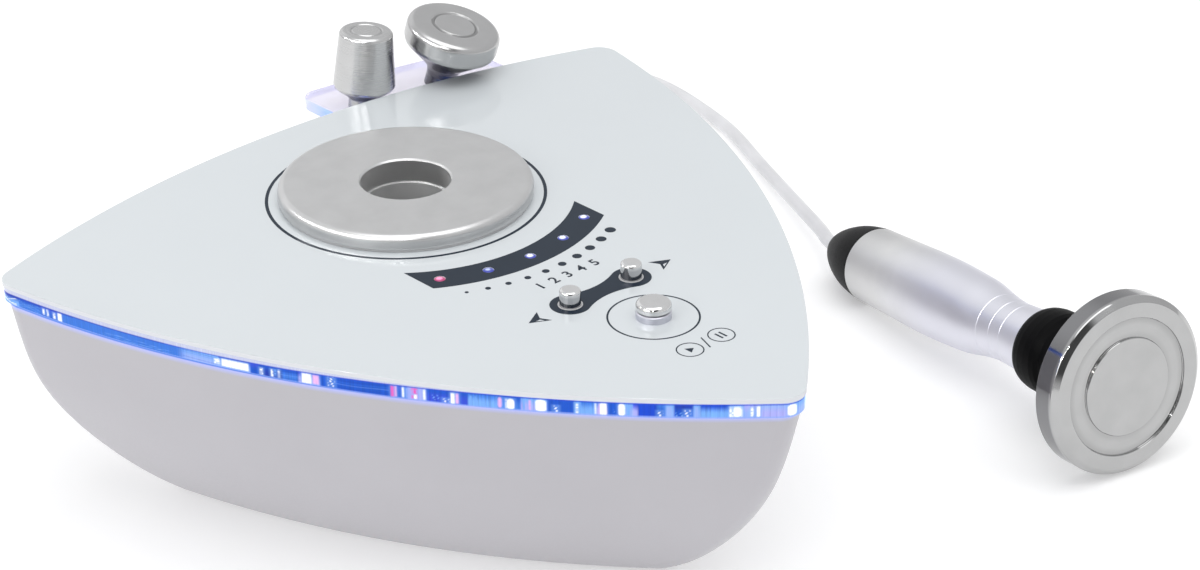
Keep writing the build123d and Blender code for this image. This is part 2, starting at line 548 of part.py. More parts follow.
# ---- spare heads ------------------------------------------------------------------


def turned(profile, closed=True):
    # solid of revolution from (radius, height) pairs about +Z
    pts = [Vector(r, 0, z) for r, z in profile]
    return revolve(make_face(Polyline(*pts, close=True)), Axis.Z)


def frame_at(origin, d):
    return Location(Plane(origin=origin, z_dir=tuple(d)))


# s runs down from the top face as negative heights
eye = turned([(0, 0), (4.5, 0), (4.9, -0.35), (5.3, 0), (6.7, 0), (7.7, -0.3), (8.35, -0.95), (8.75, -2.0), (10.05, -18.0), (10.1, -18.6),
              (9.75, -19.4), (5.4, -22.6), (5.0, -23.2), (5.0, -26.5), (0, -26.5)])
put("eye_head", frame_at(EYE_TOP, EYE_DIR) * eye)
put("eye_head_stud", frame_at(EYE_TOP, EYE_DIR) * (Pos(0, 0, -26.5) * Cylinder(PEG_R, 8.2, align=(Align.CENTER, Align.CENTER, Align.MAX))))
face = turned([(0, 0), (6.6, 0), (7.2, -0.5), (7.8, 0), (12.9, 0), (14.3, -0.45), (15.2, -1.4), (15.5, -2.6), (15.5, -6.3), (15.1, -7.6),
               (12.4, -9.8), (9.3, -12.5), (6.5, -15.0), (5.5, -16.6), (5.1, -18.4), (5.1, -22.9), (0, -22.9)])
put("face_head", frame_at(FACE_TOP, FACE_DIR) * face)
put("face_head_stud", frame_at(FACE_TOP, FACE_DIR) * (Pos(0, 0, -22.9) * Cylinder(PEG_R, 8.6, align=(Align.CENTER, Align.CENTER, Align.MAX))))

# ---- handpiece ------------------------------------------------------------------
ct, st = math.cos(math.radians(HAND_TILT)), math.sin(math.radians(HAND_TILT))
HAND_AX = Vector(HAND_DIR[0] * ct, HAND_DIR[1] * ct, st)
HAND = frame_at(HAND_FACE, HAND_AX)

head = turned([(0, 1.5), (15.3, 1.5), (15.5, 1.3), (15.5, 0.75), (21.5, 0.75), (21.7, 0.95), (21.7, 1.3), (21.9, 1.5), (26.2, 1.5),
               (27.6, 0.9), (28.2, -0.4), (28.2, -6.9), (27.7, -HEAD_T), (0, -HEAD_T)])
put("body_head", HAND * head)
put("body_head_stud", HAND * (Pos(0, 0, -HEAD_T) * Cylinder(PEG_R, 13.0, align=(Align.CENTER, Align.CENTER, Align.MAX))))

collar = turned([(6.0, -7.55), (10.6, -7.55), (10.9, -12.0), (11.1, -18.0), (11.5, -24.0), (12.0, -27.2), (13.2, -28.2), (13.75, -30.0),
                 (13.9, -33.5), (13.8, -36.5), (13.4, -39.0), (12.75, -40.5), (11.9, -41.25), (10.9, -41.5), (6.0, -41.5)])
put("neck_collar", HAND * collar)
socket = Pos(0, 0, -9.0) * Cylinder(6.0, 43.0, align=(Align.CENTER, Align.CENTER, Align.MAX)) \
    + Pos(0, 0, -52.0) * Cylinder(7.7, 4.0, align=(Align.CENTER, Align.CENTER, Align.MAX))
socket = socket - Pos(0, 0, -9.0) * Cylinder(PEG_R + 0.06, 14.0, align=(Align.CENTER, Align.CENTER, Align.MAX))
socket = socket - Pos(0, 0, -50.0) * Cylinder(3.0, 8.0, align=(Align.CENTER, Align.CENTER, Align.MAX))
put("contact_socket", HAND * socket)

SLEEVE = [(10.6, -41.5), (10.35, -46.0), (10.1, -50.4), (10.0, -53.8), (10.2, -57.1), (10.6, -60.5), (11.15, -63.8), (11.85, -67.2), (12.45, -70.6),
          (12.75, -73.9), (12.95, -77.3), (13.3, -84.0), (13.5, -90.7), (13.45, -100.8), (13.25, -107.5), (13.1, -114.0),
          (12.9, -121.0), (12.75, -128.6)]
pts = [Vector(r, 0, z) for r, z in SLEEVE]
edge = Spline(*pts)
back = Polyline(pts[-1], Vector(8.0, 0, -128.6), Vector(8.0, 0, -41.5), pts[0])
sleeve = revolve(make_face(Wire([edge] + list(back.edges()))), Axis.Z)
for s, r in ((-60.0, 10.53), (-54.5, 10.02), (-49.2, 10.16)):
    sleeve = sleeve - Pos(0, 0, s) * Torus(r + 0.15, 0.4)
put("handle_sleeve", HAND * sleeve)
dome_pts = [(12.75, -128.6), (12.5, -131.0), (12.0, -134.2), (11.25, -137.4), (10.2, -140.5), (8.95, -143.5), (7.4, -146.5), (5.6, -149.2), (4.0, TAIL_S)]
edge = Spline(*[Vector(r, 0, z) for r, z in dome_pts])
back = Polyline(Vector(4.0, 0, TAIL_S), Vector(3.4, 0, TAIL_S), Vector(3.4, 0, -117.0), Vector(7.9, 0, -117.0), Vector(7.9, 0, -128.6), Vector(12.75, 0, -128.6))
tail = revolve(make_face(Wire([edge] + list(back.edges()))), Axis.Z)
put("tail_cap", HAND * tail)
gland = Pos(0, 0, TAIL_S) * Cylinder(3.4, 18.0, align=(Align.CENTER, Align.CENTER, Align.MIN))
put("cord_gland", HAND * gland)
# wires from the gland to the contact socket, as one sleeved lead
put("handle_lead", HAND * (Pos(0, 0, TAIL_S + 18.0) * Cylinder(1.6, 78.0, align=(Align.CENTER, Align.CENTER, Align.MIN))))

# ---- handpiece cord -----------------------------------------------------------------
TAIL_PT = Vector(*HAND_FACE) + HAND_AX * TAIL_S


def radii_for(points, label):
    out = []
    for a, b, c in zip(points, points[1:], points[2:]):
        u, v = (b - a), (c - b)
        turn = u.get_angle(v)
        out.append(0.45 * min(u.length, v.length) / math.tan(math.radians(turn) / 2))
    print(label, "radii", [round(r, 1) for r in out], "turns",
          [round((b - a).get_angle(c - b), 1) for a, b, c in zip(points, points[1:], points[2:])])
    return out


def cord_tube(points, label):
    points = [Vector(*p) for p in points]
    rad = radii_for(points, label)
    line = FilletPolyline(*points, radius=rad)
    sec = Plane(origin=points[0], z_dir=(points[1] - points[0]).normalized()) * Circle(CORD_R)
    tube = sweep(sec, line)
    print(label, "length", round(line.length, 1), "volume / (section x length)",
          round(tube.volume / (math.pi * CORD_R ** 2 * line.length), 5))
    return tube, line.length


cx, cy = COIL_C
r_out = COIL_RADII[-1]
low_z, high_z = COIL_LIFT + CORD_R, COIL_LIFT + 3 * CORD_R
p0 = TAIL_PT
p1 = TAIL_PT - HAND_AX * 5.0
tail_route = [(p0.X, p0.Y, p0.Z), (p1.X, p1.Y, p1.Z), (173.1, -10.9, 8.0), (184.5, 11.3, 6.0), (200.1, 42.3, 3.6),
              (206.5, 55.0, 2.9), (213.0, 67.7, CORD_Z), (217.8, 79.5, CORD_Z), (222.2, 95.8, CORD_Z), (226.0, 113.5, CORD_Z),
              (227.2, 130.5, CORD_Z), (222.0, 145.0, CORD_Z), (209.0, 154.5, CORD_Z), (192.0, 157.0, CORD_Z), (173.0, 153.5, CORD_Z),
              (153.0, 151.0, CORD_Z), (134.0, 156.1, low_z), (cx + 18.0, cy + r_out, low_z)]
plug_route = [(cx - 18.0, cy + r_out, high_z), (63.0, cy + r_out, high_z), (48.0, 158.5, 5.6), (33.0, 157.0, 3.0), (20.5, 150.0, 4.4),
              (13.0, 140.0, 11.5), (10.4, 130.0, 21.0), (10.6, 119.5, 31.5), (SOCK_X, 108.0, 41.2), (SOCK_X, 99.0, REAR_Z - 0.9), CORD_START]
plug_route[-2] = (SOCK_X, 99.5, REAR_Z)
tube, len_tail = cord_tube(tail_route, "cord_tail")
put("cord_tail", tube)
tube, len_plug = cord_tube(plug_route, "cord_lead")
put("cord_lead", tube)
coil = cyl(cx, cy, COIL_LIFT, COIL_LIFT + 4 * CORD_R, r_out + CORD_R) - cyl(cx, cy, 0, 20, COIL_RADII[0] - CORD_R)
coil = fillet(coil.edges().filter_by(GeomType.CIRCLE), 2.2)
coil = coil + Pos(cx + 9.0, cy + r_out, low_z) * Rot(0, 90, 0) * Cylinder(CORD_R, 18.0)
coil = coil + Pos(cx - 9.0, cy + r_out, high_z) * Rot(0, 90, 0) * Cylinder(CORD_R, 18.0)
put("cord_coil", coil)
ta = 215.0
w0, w1 = COIL_RADII[0] - CORD_R - 0.75, r_out + CORD_R + 0.45
tie = Box(w1 - w0 + 1.4, 9.0, 4 * CORD_R + 1.24) - Box(w1 - w0 + 0.2, 20.0, 4 * CORD_R + 0.1)
put("cord_tie", Pos(cx, cy, 0) * Rot(0, 0, ta) * Pos((w0 + w1) / 2 + 0.0, 0, COIL_LIFT + 2 * CORD_R) * tie)
turns = 2 * math.pi * sum(COIL_RADII) * 2
print("cord length", round(len_tail + len_plug + turns + 36.0, 1))
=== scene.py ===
import bpy, bmesh, math, random
from mathutils import Matrix, Vector


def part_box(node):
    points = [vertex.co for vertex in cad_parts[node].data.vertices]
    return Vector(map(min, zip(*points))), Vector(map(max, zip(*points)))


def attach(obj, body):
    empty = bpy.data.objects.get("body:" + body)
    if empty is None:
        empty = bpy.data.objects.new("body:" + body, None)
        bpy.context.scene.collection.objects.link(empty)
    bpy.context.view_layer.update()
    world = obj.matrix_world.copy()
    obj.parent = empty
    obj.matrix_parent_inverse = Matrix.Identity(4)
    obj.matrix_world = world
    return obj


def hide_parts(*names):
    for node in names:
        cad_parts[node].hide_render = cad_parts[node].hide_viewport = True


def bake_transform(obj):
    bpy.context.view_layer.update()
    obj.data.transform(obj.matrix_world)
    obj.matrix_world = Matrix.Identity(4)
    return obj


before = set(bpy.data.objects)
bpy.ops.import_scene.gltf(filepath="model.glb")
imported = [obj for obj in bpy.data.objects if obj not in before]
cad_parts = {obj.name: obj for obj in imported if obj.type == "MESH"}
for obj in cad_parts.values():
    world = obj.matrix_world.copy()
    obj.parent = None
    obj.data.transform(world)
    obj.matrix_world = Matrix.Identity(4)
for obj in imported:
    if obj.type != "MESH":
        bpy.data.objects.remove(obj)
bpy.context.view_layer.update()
MM = 0.001
scene = bpy.context.scene
scene.view_settings.view_transform = "Standard"
scene.view_settings.look = "None"

# ---------------------------------------------------------------------------
# sizes repeated from the construction, in millimetres
# ---------------------------------------------------------------------------
PLATE_TOP, PANEL_T, GUIDE_BOT = 78.0, 1.7, 71.8
TIP_X, TIP_Y, CORNER_X, CORNER_Y = -2.4, -168.0, 120.1, 39.9
SIDE_SAG, LEFT_SAG, REAR_SAG, CORNER_R = 21.6, 21.1, 22.7, 6.7
PIN_X, PIN_Y, PLAY_Y = 11.8, -86.0, -107.5
LED_R = 56.1
HAND_FACE = Vector((133.5, -171.7, 28.86))
_t = math.radians(7.206)
HAND_AX = Vector((-0.21332 * math.cos(_t), -0.97699 * math.cos(_t), math.sin(_t)))
EYE_TOP, EYE_DIR = Vector((42.13, 69.35, 97.8)), Vector((0.0765, -0.030, 0.9966)).normalized()
FACE_TOP, FACE_DIR = Vector((70.4, 58.6, 94.5)), Vector((0.135, -0.245, 0.960)).normalized()
TAIL_S = -151.0
DISC_TOP, DOCK_R, DOCK_LEN = 83.3, 13.6, 7.7


def srgb(r, g, b, a=1.0):
    def f(c):
        c /= 255.0
        return c / 12.92 if c <= 0.04045 else ((c + 0.055) / 1.055) ** 2.4
    return (f(r), f(g), f(b), a)


# ---------------------------------------------------------------------------
# materials
# ---------------------------------------------------------------------------
class Mat:
    """A node material with short helpers; coordinates are the row frame's, in millimetres."""

    def __init__(self, name, base=(0.8, 0.8, 0.8, 1), rough=0.4, metal=0.0, spec=0.5, coat=0.0, coat_rough=0.05, ior=1.5):
        self.m = bpy.data.materials.new(name)
        self.m.use_nodes = True
        self.nt = self.m.node_tree
        self.p = self.nt.nodes["Principled BSDF"]
        self.set("Base Color", base)
        self.set("Roughness", rough)
        self.set("Metallic", metal)
        self.set("IOR", ior)
        self.set("Specular IOR Level", spec)
        self.set("Coat Weight", coat)
        self.set("Coat Roughness", coat_rough)
        self._pos = None

    def set(self, sock, v):
        self.p.inputs[sock].default_value = v
        return self

    def node(self, kind, **kw):
        n = self.nt.nodes.new(kind)
        for k, v in kw.items():
            setattr(n, k, v)
        return n

    def link(self, a, b):
        self.nt.links.new(a, b)

    def pos(self):
        if self._pos is None:
            tc = self.node("ShaderNodeTexCoord")
            vm = self.node("ShaderNodeVectorMath", operation="SCALE")
            vm.inputs["Scale"].default_value = 1000.0
            self.link(tc.outputs["Object"], vm.inputs[0])
            self._pos = vm.outputs[0]
        return self._pos

    def math(self, op, a, b=0.0, clamp=False):
        n = self.node("ShaderNodeMath", operation=op, use_clamp=clamp)
        for i, v in enumerate((a, b)):
            if isinstance(v, (int, float)):
                n.inputs[i].default_value = v
            else:
                self.link(v, n.inputs[i])
        return n.outputs[0]

    def xyz(self):
        s = self.node("ShaderNodeSeparateXYZ")
        self.link(self.pos(), s.inputs[0])
        return s.outputs

    def noise(self, scale, detail=3.0, rough=0.5, stretch=None, vec=None, dist=0.0):
        n = self.node("ShaderNodeTexNoise")
        n.inputs["Scale"].default_value = scale
        n.inputs["Detail"].default_value = detail
        n.inputs["Roughness"].default_value = rough
        n.inputs["Distortion"].default_value = dist
        v = vec or self.pos()
        if stretch:
            m = self.node("ShaderNodeVectorMath", operation="MULTIPLY")
            self.link(v, m.inputs[0])
            m.inputs[1].default_value = stretch
            v = m.outputs[0]
        self.link(v, n.inputs["Vector"])
        return n.outputs["Fac"]

    def ramp(self, fac, stops, interp="LINEAR"):
        r = self.node("ShaderNodeValToRGB")
        r.color_ramp.interpolation = interp
        e = r.color_ramp.elements
        e[0].position, e[0].color = stops[0]
        e[1].position, e[1].color = stops[-1]
        for p, c in stops[1:-1]:
            x = e.new(p)
            x.color = c
        self.link(fac, r.inputs["Fac"])
        return r.outputs["Color"]

    def remap(self, v, a, b, lo, hi):
        n = self.node("ShaderNodeMapRange")
        self.link(v, n.inputs["Value"])
        for i, x in zip(("From Min", "From Max", "To Min", "To Max"), (a, b, lo, hi)):
            n.inputs[i].default_value = x
        return n.outputs["Result"]

    def mix(self, fac, a, b, mode="MIX"):
        n = self.node("ShaderNodeMix", data_type="RGBA", blend_type=mode)
        for s, v in ((0, fac), (6, a), (7, b)):
            if isinstance(v, (int, float)):
                n.inputs[s].default_value = v
            elif isinstance(v, tuple):
                n.inputs[s].default_value = v
            else:
                self.link(v, n.inputs[s])
        return n.outputs[2]

    def to(self, sock, v):
        self.link(v, self.p.inputs[sock])
        return self

    def bump(self, h, strength=0.2, dist=0.00005, chain=None):
        b = self.node("ShaderNodeBump")
        b.inputs["Strength"].default_value = strength
        b.inputs["Distance"].default_value = dist
        self.link(h, b.inputs["Height"])
        if chain is not None:
            self.link(chain, b.inputs["Normal"])
        self.link(b.outputs[0], self.p.inputs["Normal"])
        return b.outputs[0]


def vary(m, base, amount=0.03, scale=0.05):
    """Slow colour drift over a surface, as in moulded or turned parts."""
    c0 = tuple(max(0.0, x * (1 - amount)) for x in base[:3]) + (1,)
    c1 = tuple(min(1.0, x * (1 + amount)) for x in base[:3]) + (1,)
    m.to("Base Color", m.ramp(m.noise(scale, 4), [(0.3, c0), (0.7, c1)]))


def mat_plate():
    m = Mat("lid_print_white", rough=0.12, coat=0.3, coat_rough=0.03, spec=0.35)
    base = srgb(212, 217, 220)
    vary(m, base, 0.008, 0.02)
    m.to("Roughness", m.remap(m.noise(0.35, 5, 0.6), 0.3, 0.7, 0.07, 0.12))
    return m.m


def mat_shell():
    m = Mat("moulded_shell", rough=0.42, coat=0.25, coat_rough=0.25)
    base = srgb(187, 185, 190)
    x, y, z = m.xyz()
    drift = m.ramp(m.noise(0.03, 3), [(0.3, tuple(c * 0.985 for c in base[:3]) + (1,)), (0.7, tuple(min(1, c * 1.015) for c in base[:3]) + (1,))])
    # Painted light: a lavender halo is painted into the shell's colour and emission just below the lit edge, and the
    # shell's top sliver is made to glow blue. The shell is no lamp.
    above = m.math("SUBTRACT", z, m.remap(x, -112.0, -48.0, 70.55, 71.75))
    glow = m.remap(above, -1.9, 0.0, 0.0, 1.0)
    lit = m.remap(above, -0.15, 0.2, 0.0, 1.0)
    m.to("Base Color", m.mix(lit, m.mix(glow, drift, srgb(176, 180, 228)), (0.008, 0.015, 0.07, 1)))
    m.to("Emission Color", m.mix(lit, srgb(140, 156, 255), srgb(66, 126, 226)))
    m.to("Emission Strength", m.math("MAXIMUM", m.math("MULTIPLY", glow, 0.26), lit))
    m.to("Roughness", m.remap(m.noise(1.5, 4), 0.3, 0.7, 0.36, 0.48))
    m.bump(m.noise(9.0, 3), 0.05, 0.00002)
    return m.m


def mat_satin_alu(name="bead_blasted_aluminium", val=0.56, rough=0.36):
    m = Mat(name, base=(val, val, val, 1), rough=rough, metal=1.0)
    vary(m, (val, val, val), 0.03, 0.08)
    m.to("Roughness", m.remap(m.noise(2.0, 4), 0.3, 0.7, rough - 0.05, rough + 0.06))
    m.bump(m.noise(14.0, 2), 0.12, 0.00003)
    return m.m


def mat_turned(name, val, rough, axis, origin, *tint_and_painted_light_zones, painted_shade_rings=(), mark=0.10):
    """Fine turning marks round an axis: rings of changing height along radius and length."""
    m = Mat(name, base=(val, val, val, 1), rough=rough, metal=1.0)
    sub = m.node("ShaderNodeVectorMath", operation="SUBTRACT")
    m.link(m.pos(), sub.inputs[0])
    sub.inputs[1].default_value = origin
    dot = m.node("ShaderNodeVectorMath", operation="DOT_PRODUCT")
    m.link(sub.outputs[0], dot.inputs[0])
    dot.inputs[1].default_value = axis
    length = m.node("ShaderNodeVectorMath", operation="LENGTH")
    m.link(sub.outputs[0], length.inputs[0])
    s2 = m.math("MULTIPLY", dot.outputs["Value"], dot.outputs["Value"])
    l2 = m.math("MULTIPLY", length.outputs["Value"], length.outputs["Value"])
    rad = m.math("SQRT", m.math("MAXIMUM", m.math("SUBTRACT", l2, s2), 0.0))
    comb = m.node("ShaderNodeCombineXYZ")
    m.link(rad, comb.inputs[0])
    m.link(dot.outputs["Value"], comb.inputs[1])
    rings = m.noise(9.0, 3, 0.6, vec=comb.outputs[0])
    slow = m.noise(0.12, 3)
    tone = m.ramp(slow, [(0.3, (val * 0.96,) * 3 + (1,)), (0.7, (min(1, val * 1.03),) * 3 + (1,))])
    # Each axis stretch paints the base colour darker, lighter or bluer along the length: painted shade and painted
    # reflection, except the play bezel's blue, which is its own tint.
    for z0, z1, k, blue in tint_and_painted_light_zones:
        tone = m.mix(m.remap(dot.outputs["Value"], z0, z1, 0.0, 1.0), tone, (val * k, val * k, val * k * blue, 1))
    # Each radius band paints the base colour darker: painted shade at steps and grooves.
    for r0, r1, r2, r3, k in painted_shade_rings:
        f = m.math("MULTIPLY", m.remap(rad, r0, r1, 0.0, 1.0), m.remap(rad, r2, r3, 1.0, 0.0))
        tone = m.mix(f, tone, (val * k, val * k, val * k, 1))
    m.to("Base Color", tone)
    m.to("Roughness", m.remap(rings, 0.3, 0.7, max(0.02, rough - 0.4 * mark), rough + 0.5 * mark))
    m.bump(rings, mark, 0.00002)
    return m


def mat_plastic(name, base, rough=0.45, grain=8.0, strength=0.1, coat=0.0):
    m = Mat(name, base=base, rough=rough, coat=coat, coat_rough=0.15)
    vary(m, base, 0.06, 0.06)
    m.to("Roughness", m.remap(m.noise(2.5, 4), 0.3, 0.7, max(0.02, rough - 0.05), rough + 0.07))
    m.bump(m.noise(grain, 3), strength, 0.00004)
    return m.m


def mat_print():
    m = Mat("screen_print_slate", rough=0.3, coat=0.12, coat_rough=0.03, spec=0.12)
    vary(m, srgb(30, 42, 56), 0.06, 0.15)
    return m.m


def mat_emit(name, colour, strength, base=(0.02, 0.02, 0.05, 1)):
    m = Mat(name, base=base, rough=0.2, coat=0.6)
    vary(m, base, 0.1, 0.2)
    m.set("Emission Color", colour)
    m.set("Emission Strength", strength)
    return m.m


def mat_clear(name, tint, rough=0.03, ior=1.49):
    m = Mat(name, base=tint, rough=rough, ior=ior)
    m.set("Transmission Weight", 1.0)
    m.to("Roughness", m.remap(m.noise(0.6, 4), 0.3, 0.7, 0.01, 0.06))
    return m



def mat_glow(name, strength, rough=0.12, coat=0.15):
    """Lit acrylic: the light's place comes from the mesh's glow colours, broken up by fine vertical striae."""
    m = Mat(name, base=(0.008, 0.015, 0.07, 1), rough=rough, coat=coat, coat_rough=0.03, spec=0.2)
    at = m.node("ShaderNodeAttribute", attribute_name="glow")
    stria = m.noise(1.0, 5, 0.65, stretch=(2.4, 2.4, 0.12))
    fine = m.noise(1.0, 3, 0.5, stretch=(9.0, 9.0, 0.5))
    k = m.math("MULTIPLY", m.remap(stria, 0.3, 0.7, 0.9, 1.1), m.remap(fine, 0.3, 0.7, 0.95, 1.06))
    vm = m.node("ShaderNodeVectorMath", operation="SCALE")
    m.link(at.outputs["Color"], vm.inputs[0])
    m.link(k, vm.inputs["Scale"])
    m.to("Emission Color", vm.outputs[0])
    m.set("Emission Strength", strength)
    return m.m


def mat_lidedge():
    m = Mat("lid_edge_lit", rough=0.2, coat=0.1, spec=0.2)
    # Painted glow: the lid's lower edge gets a lavender base colour and a blue emission, standing in for the edge light
    # shining through it. The lid is no lamp.
    z = m.xyz()[2]
    low = m.remap(z, 76.3, 76.7, 1.0, 0.0)
    m.to("Base Color", m.mix(low, srgb(226, 228, 232), srgb(196, 200, 232)))
    m.to("Emission Color", m.ramp(m.noise(0.25, 4), [(0.3, srgb(44, 58, 196)), (0.7, srgb(84, 96, 216))]))
    m.to("Emission Strength", m.math("MULTIPLY", low, 0.12))
    return m.m


def mat_shelf():
    m = Mat("shelf_acrylic", base=srgb(246, 243, 250), rough=0.05, ior=1.12, coat=0.6, coat_rough=0.02)
    m.set("Transmission Weight", 0.62)
    # Painted glow: the cut sides and the left end get a blue base colour and blue emission, and the whole shelf a faint
    # emission, standing in for light from the lit edge. The shelf is no lamp.
    x, y, z = m.xyz()
    left = m.remap(x, 30.0, 38.5, 1.0, 0.0)
    low = m.math("MULTIPLY", left, m.remap(y, 78.0, 92.0, 1.0, 0.3))
    geo = m.node("ShaderNodeNewGeometry")
    nz = m.node("ShaderNodeSeparateXYZ")
    m.link(geo.outputs["Normal"], nz.inputs[0])
    side = m.remap(m.math("ABSOLUTE", nz.outputs[2]), 0.4, 0.95, 1.0, 0.0)
    blue = m.math("MULTIPLY", low, side)
    m.to("Base Color", m.mix(m.math("MAXIMUM", blue, m.math("MULTIPLY", side, 0.45)), srgb(246, 243, 250), srgb(120, 150, 250)))
    m.to("Emission Color", m.mix(low, srgb(206, 196, 250), srgb(112, 156, 255)))
    m.to("Emission Strength", m.math("ADD", m.math("ADD", m.math("MULTIPLY", side, 0.3), m.math("MULTIPLY", blue, 0.5)), m.remap(m.noise(0.12, 3), 0.3, 0.7, 0.0, 0.03)))
    return m.m

def mat_fine():
    m = Mat("screen_print_fine", rough=0.16, coat=0.9, coat_rough=0.03)
    vary(m, srgb(98, 104, 112), 0.06, 0.15)
    return m.m


M = {}
M["plate"] = mat_plate()
M["shell"] = mat_shell()
M["alu"] = mat_satin_alu()
M["disc"] = mat_turned("docking_disc_aluminium", 0.635, 0.34, (0, 0, 1), (0, 0, 0)).m
# Handle: the lighter, bluer front half is a painted reflection of the blue edge light; the darker tail end is painted
# shade.
M["sleeve"] = mat_turned("handle_anodised", 0.745, 0.42, tuple(HAND_AX), tuple(HAND_FACE), (-112.0, -84.0, 1.03, 1.08), (-112.0, -128.0, 0.84, 1.0)).m
# Face head: painted shade darkens the neck under the dish, and a painted shade ring darkens the groove in the top face.
M["steel"] = mat_turned("spare_head_steel", 0.515, 0.25, tuple(FACE_DIR), tuple(FACE_TOP), (-7.4, -9.6, 0.3, 1.06), painted_shade_rings=((6.55, 6.85, 7.35, 7.75, 0.6),), mark=0.04).m
# Eye head: painted shade darkens the foot under the taper, and a painted shade ring darkens the groove in the top face.
M["eye"] = mat_turned("eye_head_steel", 0.57, 0.27, tuple(EYE_DIR), tuple(EYE_TOP), (-19.0, -20.4, 0.3, 1.06), painted_shade_rings=((4.55, 4.8, 5.1, 5.35, 0.76),), mark=0.02).m
# Body head: painted shade darkens the rim behind the front face, and painted shade rings darken the face beside its two
# steps.
M["chrome"] = mat_turned("body_head_polished", 0.455, 0.09, tuple(HAND_AX), tuple(HAND_FACE), (-0.3, -1.3, 0.52, 1.03), painted_shade_rings=((19.4, 21.6, 21.7, 21.8, 0.8), (15.5, 15.6, 15.9, 17.6, 0.88))).m
# Dock well: a lighter aluminium than the other aluminium parts, painted light on the well's shaded walls.
M["cup"] = mat_satin_alu("dock_tube_aluminium", 0.78, 0.5)
M["pin"] = mat_turned("button_chrome", 0.72, 0.07, (0, 0, 1), (PIN_X, PIN_Y, 0)).m
# Key caps: the sides below the rounded top are painted darker, a painted dark reflection.
M["pin_cap"] = mat_turned("pin_chrome", 0.74, 0.08, (0, 0, 1), (PIN_X, PIN_Y, 0), (82.3, 81.2, 0.62, 1.02)).m
M["bezel"] = mat_turned("bezel_satin", 0.62, 0.3, (0, 0, 1), (0, PLAY_Y, 0), (70.0, 71.0, 1.0, 1.1), mark=0.04).m
M["black"] = mat_plastic("satin_black_moulding", srgb(10, 10, 12), 0.5, 10.0, 0.08)
M["black"].node_tree.nodes["Principled BSDF"].inputs["Specular IOR Level"].default_value = 0.16
M["collar"] = mat_plastic("collar_black_moulding", srgb(5, 5, 6), 0.5, 10.0, 0.06)
M["collar"].node_tree.nodes["Principled BSDF"].inputs["Specular IOR Level"].default_value = 0.07
M["rubber"] = mat_plastic("black_rubber", srgb(20, 20, 20), 0.75, 6.0, 0.2)
M["greyrub"] = mat_plastic("pale_rubber", srgb(205, 205, 206), 0.6, 6.0, 0.15)
M["cord"] = mat_plastic("cord_jacket", srgb(226, 226, 228), 0.42, 3.0, 0.08, 0.2)
M["base"] = mat_plastic("base_moulding", srgb(168, 167, 171), 0.6, 5.0, 0.2)
M["screw"] = mat_turned("zinc_screws", 0.55, 0.3, (0, 0, 1), (0, 0, 0)).m
M["print"] = mat_print()
M["pcb"] = mat_plastic("board_green", srgb(24, 92, 52), 0.35, 3.0, 0.1, 0.4)
M["dark"] = mat_plastic("component_black", srgb(30, 30, 32), 0.5, 4.0, 0.1)
M["winding"] = mat_plastic("winding_varnish", srgb(186, 120, 40), 0.35, 3.0, 0.3, 0.5)
M["brass"] = mat_turned("contact_brass", 0.6, 0.22, (0, 1, 0), (0, 0, 47.0)).m
M["clear"] = mat_clear("clear_acrylic", srgb(244, 247, 255)).m
M["glow"] = mat_glow("lit_acrylic_edge", 1.0, 0.12, 0.05)
M["glow"].node_tree.nodes["Principled BSDF"].inputs["Specular IOR Level"].default_value = 0.1
M["lens"] = mat_glow("level_lens", 1.0, 0.08, 0.8)
M["lidedge"] = mat_lidedge()
M["shelf"] = mat_shelf()
M["fine"] = mat_fine()
M["lamp"] = mat_emit("strip_lamps", (0.35, 0.5, 1.0, 1), 2.0, (0.4, 0.5, 0.9, 1))

for name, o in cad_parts.items():
    key = {
        "top_panel": "plate", "light_guide": "clear", "head_shelf": "clear", "led_lenses": "clear", "lower_housing": "shell",
        "base_plate": "base", "button_carrier": "base", "board_posts": "base", "dock_ring": "disc", "dock_cup": "cup",
        "handle_sleeve": "sleeve", "heat_sink": "alu", "body_head": "chrome", "minus_button": "pin", "plus_button": "pin",
        "play_button": "pin", "play_bezel": "bezel", "eye_head": "eye", "face_head": "steel", "eye_head_stud": "eye",
        "face_head_stud": "steel", "body_head_stud": "chrome", "neck_collar": "black", "tail_cap": "black", "rear_panel": "black",
        "switch_frame": "black", "power_rocker": "black", "dc_inlet": "black", "cord_plug": "black", "rubber_feet": "rubber",
        "cord_tie": "rubber", "plug_relief": "greyrub", "cord_gland": "greyrub", "control_board": "pcb", "main_board": "pcb",
        "edge_led_strip": "pcb", "tact_switches": "dark", "capacitors": "dark", "transformer_core": "dark",
        "transformer_winding": "winding", "ribbon_link": "greyrub", "edge_leds": "lamp", "level_leds": "lamp",
        "contact_socket": "brass", "contact_pins": "brass", "handpiece_socket": "brass", "cord_tail": "cord", "cord_lead": "cord",
        "cord_coil": "cord", "handle_lead": "cord",
    }.get(name, "screw")
    o.data.materials.clear()
    o.data.materials.append(M[key])

# ---------------------------------------------------------------------------
# shape helpers
# ---------------------------------------------------------------------------
def add_object(name, mesh, mats, body="console"):
    o = bpy.data.objects.new(name, mesh)
    scene.collection.objects.link(o)
    for m in mats:
        mesh.materials.append(m)
    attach(o, body)
    return o


